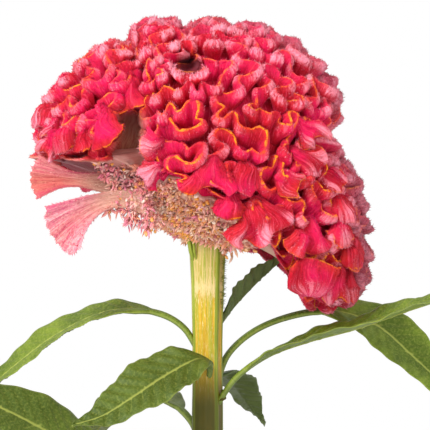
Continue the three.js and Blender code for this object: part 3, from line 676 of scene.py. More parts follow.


# Lobes over the crest's front: root and tip as (x, z), width, dome, how pale (pale tips with painted
# highlight), how far in front, and the number of waves across, or POUCH. A pouch has its bright rim on top, a
# fan below.

POUCH = 0
LOBES = [
    ((18, -11), (25, -29), 32, 1.6, 0.9, 2.5, 3), ((10, -7), (8.5, -20), 17, 2.0, 0.05, 1.5, 1),
    ((1.5, 5), (1.5, -11), 25, 1.6, 0.05, 1.5, 2), ((15, 5), (16, -10.5), 15, 2.0, 0.25, 1.0, 1),
    ((40, -19), (41.5, -36), 21, 2.4, 0.35, 3.0, 2), ((43, -38), (41.5, -51.5), 23, 4.6, 0.55, 2.0, POUCH),
    ((53, -38), (53, -57), 17, 2.4, 0.9, 2.0, 2), ((58, -26), (61, -43), 13, 2.0, 0.4, 0.5, 1),
    ((58, -42), (59, -56), 11, 2.0, 0.6, 0.0, 1), ((52, -17), (56.5, -32), 13, 2.6, 1.0, 2.5, 1),
    ((56, -29), (61, -42), 12, 2.4, 0.35, 1.5, 1), ((51, -8), (57.5, -22), 12, 2.2, 0.8, 1.5, 1),
    ((46, 0), (56, -9), 14, 2.0, 0.9, 1.5, 2), ((33, 8), (47.5, 0), 13, 2.0, 0.9, 2.0, 2),
    ((34, 21), (47.5, 9), 14, 2.0, 0.95, 2.0, 2), ((28, -2), (38, -9), 12, 2.0, 0.5, 2.0, 2),
    ((-17, 11), (-26.5, 9), 15, 3.0, 1.0, 1.0, 1), ((-17, 1), (-26.5, -3), 15, 3.0, 1.0, 1.5, 1),
    ((-42, 25), (-42, 7.5), 18, 2.4, 0.05, 1.5, 1), ((-55, 19), (-60, 5.5), 13, 2.6, 0.5, 2.0, 1),
    ((-60, 27), (-70, 13), 15, 2.0, 0.95, 0.5, 2), ((-59, 15), (-68, 4), 13, 2.0, 0.95, 1.0, 2),
    ((-33, 38), (-32, 21.5), 22, 1.6, 0.05, 1.0, 2), ((-49, 15), (-51, 5.5), 9, 1.6, 0.2, 1.0, 1),
]


def front_y(x, z):
    """The depth of the comb's front at (x, z)."""
    r = float(outline_radius(np.array([math.atan2(z, x)]))[0])
    share = min(0.97, math.hypot(x, z) / r)
    return -float(depth_at(np.array([x]), np.array([-1.0]))[0]) * math.sqrt(1 - share * share)


def pouch_shape(k, s, u, ripple, length, width, dome, pale, waves):
    """A domed pouch, round below: how far down, across and out, the depth below its rim, and tints."""
    half = width / 2 * np.sqrt(np.clip(1 - (np.maximum(0, s - 0.42) / 0.6) ** 2, 0.02, 1))
    across = half * np.sin(u * 1.4) / math.sin(1.4)
    reach = length * s + (1 - s) ** 2 * (2.2 * u * u + 1.1 * np.sin(4.5 * u + 2 * k) - 0.6)
    bulge = dome * np.sqrt(1 - 0.96 * u * u) * np.sin(math.pi * (0.2 + 0.8 * s)) ** 0.75
    bulge = bulge + (1 - s) ** 3 * (1.0 + ripple) + 0.3 * ripple * np.sin(math.pi * s)
    below = 0.45 * s * length + 0.02
    # Pale crown near the lower end, pale velvet with painted highlight; painted shade under the rim and
    # towards the sides
    crown = pale * np.exp(-(((s - 0.86) / 0.3) ** 2)) * (1 - 0.6 * u * u)
    deep = 0.55 * smooth(0.25, 0.02, s) + 0.5 * smooth(0.75, 1.0, np.abs(u)) * (1 - 0.6 * pale)
    return reach, across, bulge, below, crown, deep


def fan_shape(k, s, u, ripple, length, width, dome, pale, waves):
    """A fan that waves more towards its rim, with the same values as pouch_shape."""
    wave = -np.cos(waves * math.pi * (u + 1)) * (1 + 0.25 * np.sin(2.7 * u + 1.9 * k))
    across = width / 2 * (0.2 + 0.8 * s ** 0.75) * np.sin(u * 1.35) / math.sin(1.35)
    uneven = 0.5 * np.sin(4.3 * u + 2.1 * k) + 0.35 * np.sin(13 * u + k)
    reach = length * s * (1 - 0.3 * s * u * u) + s ** 3 * (0.09 * length * (wave - 1) + uneven)
    bulge = dome * (1 - u * u) * np.sin(math.pi * np.minimum(1, 0.12 + 0.8 * s))
    bulge = bulge + (0.6 + 0.045 * width) * s * wave * (1.15 - 0.35 * s) + 0.4 * s * ripple
    below = 0.5 * np.minimum((1 - s) * length, (1 - np.abs(u)) * width / 2 + 2 * (1 - s))
    convex = smooth(-0.2, 0.9, wave)
    # Pale crown near the rim, with painted highlight more on the convex waves; painted shade at the root and
    # in the concave waves
    crown = pale * (0.25 + 0.75 * convex) * np.exp(-(((1 - s) * length / 8.5) ** 2))
    deep = np.clip(smooth(0.45, 0.0, s) + 0.4 * (1 - convex) * s, 0, 0.85)
    return reach, across, bulge, below, crown, deep


def lobe_parts():
    rows, cols = 22, 36
    s, u = np.meshgrid(np.linspace(0, 1, rows), np.linspace(-1, 1, cols), indexing="ij")
    parts = []
    for k, (top, low, width, dome, pale, fore, waves) in enumerate(LOBES):
        pouch = waves == POUCH
        a = np.array([top[0], front_y(*top) + (1 if pouch else 4), top[1]], float)
        b = np.array([low[0], front_y(*low) - fore, low[1]], float)
        b[1] = min(b[1], a[1] - 1)
        way = b - a
        length = math.sqrt((way * way).sum())
        way = way / length
        face = np.array([0.012 * low[0], -1.0, -0.1])
        face = unit(face - way * (face @ way))
        side = np.cross(way, face)
        ripple = 0.22 * np.sin(23 * u + k) + 0.5 * np.sin(9 * u + 1.3 * k)
        shape = (pouch_shape if pouch else fan_shape)(k, s, u, ripple, length, width, dome, pale, waves)
        reach, across, bulge, below, crown, deep = shape
        middle = a + way * reach[..., None] + side * across[..., None] + face * bulge[..., None]
        flat = middle.reshape(-1, 3)
        uneven = np.stack([wavy(flat, 11, 50 + 3 * k + j) for j in range(3)], 1).reshape(middle.shape)
        pleat = 0.25 * np.sin(2.3 * u * width + 3 * uneven[..., 0])
        middle = middle + 1.3 * uneven + face * pleat[..., None]
        border = (np.abs(u) > 0.98) | (s > 0.98) | ((s < 0.02) & pouch)
        thick = face * ((0.9 - 0.35 * s * s) * np.where(border, 0.4, 1))[..., None]
        points = two_faced(middle + thick, middle - thick)
        uv = two_faced(np.stack([u * width / 2 + 37 * k + 0.6 * uneven[..., 0], below], -1))
        tint = two_faced(np.stack([crown, deep], -1))
        more = np.stack([0.6 * painted_shade_places(points), np.zeros(points.shape[:2])], -1)
        parts.append((points, uv, np.concatenate([tint, more], -1)))
    return parts


# Bracts: tiny pointed scales that lie towards the rim and make the folds look like plush

BRACTS, BRACT_PIECES = 165000, 3
FAN_DOWN = 3000
BRACT_SEED = 17
SHEET_ROWS = 40


def bract_places(grids, count, rng):
    """Random places on closed grids of (points, uv, tint), with more of them near the rims."""
    cells = []
    for points, uv, tint in grids:
        corner = points[:-1]
        a, b = points[1:] - corner, np.roll(points, -1, 1)[:-1] - corner
        va, vb = (uv[1:] - uv[:-1])[..., 1:], (np.roll(uv, -1, 1) - uv)[:-1, :, 1:]
        toward = -(a * va / ((a * a).sum(-1, keepdims=True) + 1e-6))
        toward = toward - b * vb / ((b * b).sum(-1, keepdims=True) + 1e-6)
        normal = np.cross(a, b)
        area = np.sqrt((normal * normal).sum(-1))
        weight = area * np.exp(-((uv[:-1, :, 1] / 7) ** 2)) * (1 - tint[:-1, :, 3]) * (tint[:-1, :, 1] < 0.9)
        on_lobe = len(corner) < SHEET_ROWS
        weight = weight * (1 - 0.45 * smooth(0, 25, corner[..., 1])) * (3.0 if on_lobe else 1)
        cell = (corner, a, b, toward, normal, uv[:-1], tint[:-1])
        cells.append([x.reshape(-1, x.shape[-1]) for x in cell] + [weight.ravel()])
    p, a, b, toward, normal, uv, tint, weight = (np.concatenate(x) for x in zip(*cells))
    pick = rng.choice(len(p), count, p=weight / weight.sum())
    i, j = rng.uniform(0, 1, (2, count, 1))
    return p[pick] + a[pick] * i + b[pick] * j, unit(normal[pick]), unit(toward[pick]), uv[pick], tint[pick]


def make_bracts(name, look, grids, count, pieces):
    """Slim scales of two triangles, some lighter and some deeper in colour than what they stand on."""
    rng = np.random.default_rng(BRACT_SEED)
    root, normal, toward, uv, tint = bract_places(grids, count, rng)
    way = unit(toward * rng.uniform(0.5, 1.1, (count, 1)) + normal * rng.uniform(0.35, 1.0, (count, 1))
               + rng.normal(0, 0.22, (count, 3)))
    length = rng.uniform(0.6, 1.5, (count, 1)) * (0.75 + 0.45 * tint[:, :1])
    half = rng.uniform(0.15, 0.32, (count, 1))
    across = unit(np.cross(way, normal))
    lift = np.cross(across, way)
    root = root - normal * 0.12
    corners = [root + across * half, root - across * half, root + lift * half * 0.8, root + way * length]
    points = np.stack(corners, 1)
    kind = rng.uniform(0, 1, count)
    light = np.where(kind < 0.3, rng.uniform(0.35, 0.8, count), rng.uniform(-0.2, 0.1, count))
    tints = np.repeat(tint[:, None, :], 4, 1)
    tints[:, :, 0] = np.clip(tints[:, :, 0] * 0.9 + light[:, None] * (0.22 + 1.2 * tints[:, :, 0]), 0, 1)
    tints[:, 3, 0] = np.clip(tints[:, 3, 0] + 0.15, 0, 1)
    tints[:, :, 1] = tints[:, :, 1] * 0.6 + np.where(kind > 0.75, rng.uniform(0.2, 0.7, count), 0)[:, None]
    uvs = np.repeat(uv[:, None, :], 4, 1) + rng.uniform(-0.2, 0.2, (count, 1, 2))
    uvs[:, :, 1] = np.maximum(uvs[:, :, 1], 0) + 0.4
    faces = np.array([(0, 3, 2), (2, 3, 1)])
    for k in range(pieces):
        part = slice(k * count // pieces, (k + 1) * count // pieces)
        n = part.stop - part.start
        f = (np.arange(n)[:, None, None] * 4 + faces).reshape(-1, 3)
        scales = (points[part].reshape(-1, 3), f, uvs[part].reshape(-1, 2), tints[part].reshape(-1, 4))
        make_comb_piece(f"{name}_{k + 1}", scales, look, smooth_faces=False)


FOLD_PIECES = 3


def make_crest(look):
    sheets = crest_sheets(*crest_lines())
    lobes = lobe_parts()
    steps = len(sheets[0]) - 1
    for k in range(FOLD_PIECES):
        part = slice(k * steps // FOLD_PIECES, (k + 1) * steps // FOLD_PIECES + 1)
        make_comb_piece(f"crest_folds_{k + 1}", closed([[x[part] for x in sheets]])[0], look)
    make_comb_piece("crest_lobes", joined(closed(lobes)), look)
    make_bracts("crest_bracts", look, [sheets] + lobes, BRACTS, BRACT_PIECES)


# The crest's lower edge, its core and the comb's flank

CORE_INSET, FLANK_INSET = 8.8, 6.8


def facing(phi, beta):
    """Directions at angles phi round Z and elevations beta."""
    return np.stack([np.cos(phi) * np.cos(beta), np.sin(phi) * np.cos(beta), np.sin(beta)], 1)


def edge_at(phi):
    """For each angle round Z: the elevation at which the crest ends."""
    beta = np.full(len(phi), 80 * DEG)
    run = np.ones(len(phi), bool)
    while run.any():
        p = envelope(facing(phi, beta))
        run &= (beta > -80 * DEG) & (p[:, 2] > crest_edge(p))
        beta = np.where(run, beta - DEG / 2, beta)
    return beta


def make_core(look):
    """The body below the folds, dark with painted shade."""
    around, levels = 160, 40
    phi = turns(around)
    beta = edge_at(phi)
    shares = np.arange(levels) / (levels - 1)
    top = 87 * DEG
    points = np.concatenate([envelope(facing(phi, beta + (top - beta) * t), CORE_INSET) for t in shares])
    points = points + unit(points) * (1.2 * wavy(points, 9, 5))[:, None]
    shade = np.maximum(0.5, hollow_shade(points))
    points[:, 1] += 8 * cleft_share(points) + 9 * dark_hollow(points)
    uv = np.stack([np.tile(phi * 40, levels), np.repeat(np.arange(levels) * 3.0 + 9, around)], 1)
    tint = np.tile([0.0, 0.5, 0.0, 0.0], (len(points), 1))
    tint[:, 1] = shade
    tint[:, 3] = beige_places(points)
    make_comb_piece("crest_core", (points, grid_faces(levels, around, ring=True), uv, tint), look)


def funnel_point(phi, s, beta):
    """Points of the flank, at share s of the way from the stem to the crest's lower edge."""
    foot, r = -31.0, 7.4
    edge = envelope(facing(phi, beta), FLANK_INSET)
    start = np.stack([r * np.cos(phi), r * np.sin(phi), np.full(len(phi), foot)], 1)
    p = start + (edge - start) * s[:, None]
    p[:, 2] += np.where(edge[:, 2] > foot, -3, 5) * np.sin(math.pi * s)
    p[:, 2] += 9.5 * np.sin(math.pi * s) * smooth(0.2, -0.7, np.cos(phi)) * smooth(0.5, -0.3, np.sin(phi))
    return p


def flank_material():
    m = Nodes("flank_skin", 0.6, sheen=0.1, sheen_tint=(1.0, 0.8, 0.75), specular=0.3)
    pink, low, fanned, shade = m.tint()
    streak = m.noise(m.uv((2.2, 0.09, 1)), detail=4.0, roughness=0.62)
    patch = m.noise(m.place(), 80.0)
    fine = m.noise(m.uv((5.0, 1.6, 1)), roughness=0.7)
    skin = m.between(patch, 0.35, 0.65, "dca490", "c08070")
    skin = m.layers(skin, (streak, 0.4, 0.68, 0, 1, "ecccb4"))
    skin = m.mix(m.times(low, m.span(streak, 0.3, 0.7, 0.5, 1)), skin, "8c8c4c")
    skin = m.mix(m.times(pink, m.span(streak, 0.35, 0.65, 0.2, 0.7)), skin, "c06070")
    fan = m.between(streak, 0.38, 0.62, "d04478", "f8aeb4")
    fan = m.layers(fan, (fine, 0.42, 0.7, 0, 0.5, "fae0cc"))
    coral = m.between(streak, 0.36, 0.64, "c4444c", "e08a78")
    skin = m.mix(fanned, skin, m.mix(pink, coral, fan))
    skin = m.mix(m.times(shade, 0.85), skin, m.mix(fanned, "7c1c3c", "b82058"))
    return m.finished(skin, m.plus(streak, fine), 0.0005, 0.6)


# Fans at the left: upper border, outer edge and lower border as (x, z), and the depths of root and rim

FANS = [
    ([(-30, 3), (-42, -1.5), (-55, -1.5), (-63, 2), (-68.5, 5.5)],
     [(-68.5, 5.5), (-72, -1), (-72.2, -7), (-69.5, -13)],
     [(-30, -13), (-44, -10.2), (-52, -8.2), (-60, -8.6), (-69.5, -13)], -12, -20),
    ([(-28, -8), (-42, -10), (-52, -12), (-65.5, -15.5)],
     [(-65.5, -15.5), (-65.8, -22), (-61, -31), (-56, -35.4), (-51.7, -33)],
     [(-24, -20), (-36, -15.8), (-43, -18), (-49, -25), (-51.7, -33)], -16, -25),
]


def through(points, t):
    """Points at shares t of the way along a smooth line through points."""
    steps = 79
    line = catmull([(x, 0, z) for x, z in points], steps + 1)[0]
    at = np.clip(t, 0, 1) * steps
    i = np.minimum(at.astype(int), steps - 1)
    f = (at - i)[..., None]
    return line[i] * (1 - f) + line[i + 1] * f


def fan_parts():
    """The two fans: each a sheet stretched between its borders, bowed and fluted."""
    rows, cols = 44, 44
    s, u = np.meshgrid(np.linspace(0, 1, rows), np.linspace(0, 1, cols), indexing="ij")
    down, across = s[..., None], u[..., None]
    bow = 4 * u * (1 - u)
    parts = []
    for k, (upper, edge, lower, near, far) in enumerate(FANS):
        ends = [np.array([x, 0, z]) for x, z in (upper[0], lower[0], edge[0], edge[-1])]
        root = (1 - across) * ends[0] + across * ends[1]
        outer = (1 - across) * ends[2] + across * ends[3]
        p = (1 - across) * through(upper, s) + across * through(lower, s)
        p = p + (1 - down) * root + down * through(edge, u) - ((1 - down) * root + down * outer)
        y = near + (far - near) * s ** 1.3 + 5.0 * bow * s * (1 - 0.4 * s) - 2.0
        p[..., 1] = y + 0.9 * s ** 2 * np.sin(9 * u + 1.2 + k) + 0.3 * s * np.sin(37 * u + 2 * s)
        p[..., 0] -= 0.4 * s ** 6 * np.sin(46 * u + k)
        border = (s > 0.985) | (u < 0.01) | (u > 0.99)
        half = 0.9 * (1.15 - 0.75 * s) * np.where(border, 0.3, 1)
        thick = half[..., None] * [0, 1, 0]
        uv = np.stack([u * 26 + 50 * k, (1 - s) * 40], -1)
        # Painted shade: hollow darkens the upper fan's top border under the crest, rim the crease where the
        # two fans meet
        hollow = 0.9 * np.exp(-((u - 0.02) / 0.16) ** 2) * smooth(0.8, 0.6, s) * smooth(0.1, 0.4, s) * (1 - k)
        rim = np.exp(-((u - (0.93 if k == 0 else 0.05)) / 0.07) ** 2) * smooth(0.3, 0.6, s)
        shade = np.maximum(hollow, 0.65 * rim)
        pink = 0.5 * k + 0.5 * np.clip(0.5 + 0.5 * np.sin(7 * u + k) - 0.5 * (1 - k) * u, 0, 1)
        tint = np.stack([pink * smooth(0.2, 0.6, s), 0 * s, smooth(0.3, 0.75, s), shade], -1)
        parts.append((two_faced(p - thick, p + thick), two_faced(uv), two_faced(tint)))
    return parts


def make_flank(look):
    """The bare flank below the crest, closed under it by a few more rings, with the two fans."""
    around, levels, closing = 200, 40, 6
    middle = np.array([0, 0, 10.0])
    phi = turns(around)
    beta = edge_at(phi)
    left = smooth(0.2, -0.6, np.cos(phi))
    rings, tints = [], []
    for k in range(levels + closing):
        s = np.full(around, min(1.0, k / (levels - 1)))
        p = funnel_point(phi, s, beta)
        if k >= levels:
            p = p + (middle - p) * (0.5 * (k - levels + 1) / closing)
        rings.append(p)
        # Painted shade: dark in the hollow above the upper fan under the crest's left end, and a little over
        # the left side
        dark = np.exp(-(((p[:, 0] + 58) / 21) ** 4) - ((p[:, 2] + 3) / 15) ** 4) * smooth(70, 50, p[:, 1])
        shade = np.maximum(0.2 * left, dark)
        tints.append(np.stack([smooth(0.45, 0.9, s) * 0.6, smooth(0.25, 0.0, s), 0 * s, shade], 1))
    points, tint = np.concatenate(rings), np.concatenate(tints)
    ribs = np.repeat(np.arange(levels + closing), around) / levels
    turn = np.tile(phi, levels + closing)
    relief = 0.45 * np.sin(34 * turn) * smooth(0.1, 0.5, ribs) + 0.7 * wavy(points, 11, 8)
    points = points + unit(points * [1, 1, 0.2]) * relief[:, None]
    uv = np.stack([turn * 30, ribs * 40], 1)
    body = (points, grid_faces(levels + closing, around, ring=True)[:, ::-1], uv, tint)
    fans = fan_parts()
    make_comb_piece("comb_flank", joined([body] + closed(fans)), look)
    fans = [(p, u * [1, 0.15], t * [1, 0, 1, 0]) for p, u, t in fans]
    make_bracts("flank_down", look, fans, FAN_DOWN, 1)


def floret_material():
    m = Nodes("floret_paper", 0.5, sheen=0.15, sheen_tint=(1, 0.85, 0.85), specular=0.4)
    gold, pale, shade, violet = m.tint()
    vein = m.noise(m.uv((3, 0.6, 1)), detail=2.0)
    paper = m.between(vein, 0.35, 0.65, "ee9c7c", "ffd8b4")
    paper = m.mix(violet, paper, "f48cb0")
    paper = m.mix(gold, paper, m.between(vein, 0.4, 0.6, "e4801c", "ffc450"))
    paper = m.mix(pale, paper, "fff4e4")
    paper = m.mix(m.times(shade, 0.6), paper, "b05c50")
    return m.finished(paper, vein, 0.0002, 0.5)


# Ribs that run up over the comb's neck, and a bud: angle, from, to, half width and tint
NECK_RIBS = [(-146, 254, 279, 1.0, (0.85, 1, 0)), (-132, 256, 272, 0.6, (0.85, 1, 0)),
             (-28, 196.5, 202, 1.5, (0.1, 0, 1.6))]


def neck_rib_parts():
    parts = []
    sides, rows = 10, 30
    t = turns(sides)
    for angle, low, high, half, colours in NECK_RIBS:
        a, s = angle * DEG, np.linspace(0, 1, rows)
        z = low + (high - low) * s
        r = along(STEM_RADII, z) - 0.5 + 1.6 * smooth(0, 0.3, s) + 4.0 * smooth(258, 280, z)
        wide = half * smooth(-0.1, 0.25, s) * (1.15 - 0.9 * s ** 2)
        out, side = np.array([math.cos(a), math.sin(a), 0]), np.array([-math.sin(a), math.cos(a), 0])
        middle = out * r[:, None] + np.array([0, 0, 1]) * z[:, None] + side * (0.8 * np.sin(3 * s))[:, None]
        ring = out * np.cos(t)[:, None] * 0.8 + side * np.sin(t)[:, None]
        p = (middle[:, None, :] + ring[None] * wide[:, None, None]).reshape(-1, 3)
        tint = np.tile(np.array(colours, float), (len(p), 1))
        uv = np.stack([np.tile(t * 2, rows), np.repeat(z, sides)], 1)
        parts.append((p, grid_faces(rows, sides, ring=True), uv, tint))
    return parts


# A floret's width at each share of its length, as a papery scale and as a round capsule
SCALE = ((0, 0.3), (0.3, 0.95), (0.62, 0.9), (1, 0.06))
CAPSULE = ((0, 0.35), (0.3, 1.0), (0.75, 0.95), (1, 0.3))

FLORET_TRIES, FLORETS, LEFT_TRIES = 40000, 4200, 950
# Hanging tufts: middle, reach and number
TUFTS = (((-31, -16, -21), 2.6, 70), ((-24, -16, -23), 3.2, 80), ((9, -8, -34), 2.2, 30))
LEFT_WAY, TUFT_WAY = np.array([-0.2, -0.9, -0.3]), np.array([-0.1, -0.4, -0.9])


def floret_places(rng):
    """Where florets stand, as points with the way out: round the comb's neck and on the fans' roots."""
    phi = rng.uniform(0, 2 * math.pi, FLORET_TRIES)
    s = 0.02 + 0.94 * rng.uniform(0, 1, FLORET_TRIES) ** 1.1
    beta = edge_at(phi)
    foot = funnel_point(phi, s, beta)
    edge = crest_edge(envelope(facing(phi, beta)))
    room = (foot[:, 0] > -37) & (foot[:, 0] < 24 - 8 * smooth(0.3, 0.8, s))
    room &= (foot[:, 1] < 5) | (np.abs(foot[:, 0]) < 22)
    room &= (foot[:, 0] > -29) | (foot[:, 2] < -7)
    ok = np.nonzero(room & (foot[:, 2] < edge + 3))[0][:FLORETS]
    places = [(foot[k], np.array([math.cos(phi[k]), math.sin(phi[k]), -0.1])) for k in ok]
    for _ in range(LEFT_TRIES):
        at = np.array([-24 - 23 * rng.uniform() ** 1.5, rng.uniform(-19, -15.5), rng.uniform(-19, 3)])
        if at[0] + 0.6 * abs(at[2] + 11) > -39:
            places.append((at, LEFT_WAY))
    for middle, reach, number in TUFTS:
        for _ in range(number):
            places.append((np.array(middle) + rng.normal(0, reach, 3) * 0.6, TUFT_WAY))
    return places


def make_florets(look):
    rng = np.random.default_rng(3)
    sides = 4
    t = (np.arange(sides) + 0.5) / sides * 2 * math.pi
    places = floret_places(rng)
    bases = np.array([base for base, out in places])
    golden_patch, pink_patch, pale_patch = (wavy(bases, *scale) for scale in ((8, 61), (6, 62), (7, 63)))
    parts = []
    for k, (base, out) in enumerate(places):
        left = float(smooth(-12, -26, base[0]))
        kind = rng.uniform()
        gold = kind < (0.08 + 0.42 * smooth(0.05, 0.7, golden_patch[k])) * (1 - 0.85 * left)
        white = kind > 0.96
        spread = 0.4 if gold else 0.95
        way = unit(out + rng.uniform(-spread, spread, 3))
        profile = CAPSULE if gold or white else SCALE
        length = rng.uniform(1.6, 2.6) if gold or white else rng.uniform(2.4, 4.8)
        half = rng.uniform(0.6, 0.95) if gold else rng.uniform(0.55, 1.2) * (1 - 0.2 * left)
        across = unit(np.cross(way, rng.normal(size=3)))
        other = np.cross(way, across)
        root = base + unit(out) * (0.6 if gold or white else -0.6)
        curl = other * rng.uniform(-0.9, 0.9)
        ring = across * np.cos(t)[:, None] + other * np.sin(t)[:, None] * (1.0 if gold else 0.4)
        p = np.concatenate([root + way * (length * share) + curl * share ** 2 + ring * half * width
                            for share, width in profile])
        share = np.repeat([q[0] for q in profile], sides)
        golden = rng.uniform(0.6, 1) if gold else 0.35 * smooth(0, 0.8, golden_patch[k]) + rng.uniform(0, 0.1)
        pale = rng.uniform(0.7, 1) if white else 0.6 * smooth(0, 0.8, pale_patch[k]) * rng.uniform(0.5, 1)
        shade = (1 - share) * 0.5 + 0.7 * smooth(-0.1, -0.7, golden_patch[k]) * rng.uniform(0.3, 1)
        shade = np.clip(shade * (1 - 0.6 * left), 0, 1)
        violet = left * rng.uniform(0.3, 1)
        violet = violet + (1 - left) * smooth(-0.2, 0.8, pink_patch[k]) * rng.uniform(0.5, 1)
        tint = np.zeros((len(p), 4)) + [golden, pale, 0, violet * (not gold)]
        tint[:, 2] = shade
        uv = np.stack([np.tile(t, len(profile)), share * length + k], 1)
        parts.append((p, grid_faces(len(profile), sides, ring=True), uv, tint))
    make_comb_piece("florets", joined(parts), look)


# Stem and leaves

def stem_material():
    m = Nodes("stem_skin", 0.5, specular=0.25)
    rib, high, low = m.tint()[:3]
    streak = m.noise(m.uv((1.6, 0.035, 1)), detail=4.0, roughness=0.6)
    patch = m.noise(m.place((1, 1, 0.35)), 90.0)
    olive = m.noise(m.uv((0.9, 0.02, 1)), detail=2.0)
    lime = m.noise(m.uv((1.1, 0.01, 1)), detail=2.0)
    torn = m.noise(m.uv((3.0, 0.22, 1)), roughness=0.7)
    torn = m.plus(high, m.times(m.plus(torn, -0.5), 2.6))
    upper = m.between(streak, 0.38, 0.62, "a8a030", "dcc080")
    upper = m.layers(upper, (patch, 0.45, 0.75, 0, 0.6, "c8a860"), (lime, 0.47, 0.56, 0, 0.85, "98a434"))
    skin = m.layers(
        m.between(streak, 0.38, 0.66, "c09010", "dcb838"),
        (patch, 0.4, 0.7, 0, 1, "a08410"), (olive, 0.48, 0.6, 0, 0.8, "a4a430"),
        (torn, 0.1, 0.45, 0, 0.75, "ead4a0"), (torn, 0.45, 1, 0, 1, upper),
    )
    # The darker lower stem: olive-brown of its own and painted shade under the leaves; the bud and hairs use
    # it for their own dark colour
    skin = m.mix(low, skin, m.between(patch, 0.35, 0.7, "5c500e", "46460e"))
    green = m.between(streak, 0.4, 0.7, "7c8e28", "acb244")
    green = m.mix(m.times(low, 0.7), green, "484a10")
    return m.finished(m.between(rib, 0.45, 0.8, skin, green), streak, 0.0004, 0.6)


HAIRS = 260
RIB_ANGLES = (-150, -49, -4, 40, 100, 155)


def hair_part(rng, count):
    """Short dark hairs on the right of the stem, below the florets."""
    angle = rng.uniform(-35, 35, count) * DEG
    z = rng.uniform(236, 264, count)
    out = np.stack([np.cos(angle), np.sin(angle), np.zeros(count)], 1)
    root = out * (along(STEM_RADII, z) * 1.02)[:, None]
    root[:, 2] = z
    way = unit(out + rng.normal(0, 0.35, (count, 3)) + [0, 0, 0.2])
    across = unit(np.cross(way, [0, 0, 1]))
    other = np.cross(way, across)
    long, half = rng.uniform(0.7, 2.0, (count, 1)), 0.11
    ring = [across * half, other * half, -across * half, -other * half]
    corners = [root + step for step in ring] + [root + way * long + 0.15 * step for step in ring]
    p = np.stack(corners, 1).reshape(-1, 3)
    quads = np.array([(k, (k + 1) % 4, (k + 1) % 4 + 4, k + 4) for k in range(4)])
    faces = (np.arange(count)[:, None, None] * 8 + quads).reshape(-1, 4)
    uv = np.repeat(np.stack([angle * 7, z], 1), 8, 0)
    return p, faces, uv, np.tile([1.0, 0.0, rng.uniform(0.9, 1)], (len(p), 1))


def make_stem(look):
    """The ribbed stem, which runs up a little way among the florets."""
    sides, rows, hidden = 90, 96, 11
    z = np.linspace(STEM_FOOT, STEM_TOP + hidden, rows)
    t = turns(sides)
    tt, zz = np.meshgrid(t, z)
    rib = -np.ones_like(tt)
    for angle in RIB_ANGLES:
        miss = (tt / DEG - angle + 180) % 360 - 180
        rib = np.maximum(rib, 2 * np.exp(-((miss / 17) ** 2)) - 1)
    fine = np.cos(15 * tt + 1)
    r = along(STEM_RADII, zz) * (1 + 0.06 * rib + 0.012 * fine)
    points = np.stack([r * np.cos(tt), r * np.sin(tt), zz], -1).reshape(-1, 3)
    points[:, :2] *= (1 + 0.012 * wavy(points, 14, 4))[:, None]
    # low: darker towards the foot, the stem's own olive-brown with painted shade under the leaves
    high, low = smooth(236, 254, zz), smooth(218, 194, zz)
    tint = np.stack([0.5 + 0.4 * rib + 0.1 * fine, high, low], -1).reshape(-1, 3)
    uv = np.stack([tt * 7, zz], -1).reshape(-1, 2)
    body = (points, grid_faces(rows, sides, ring=True), uv, tint)
    hairs = hair_part(np.random.default_rng(9), HAIRS)
    make_piece("stem", joined([body, hairs] + neck_rib_parts()), look)


STALK_THICK, BLADE_THICK, VEIN_STEP = 2.2, 0.7, 6.2


def leaf_half(stalk, width, t):
    """Half the width of a leaf at each share t of its length."""
    s = np.clip((t - stalk) / (1 - stalk), 0, 1)
    blade = np.sin(math.pi * s ** 0.82) ** 0.85 * (1 - 0.25 * s)
    stem = 1.3 + 0.5 * smooth(0.5 * stalk, stalk, t)
    return np.where(t < stalk, stem, np.maximum(0.35, 1.8 * (1 - s) + width / 2 * blade))


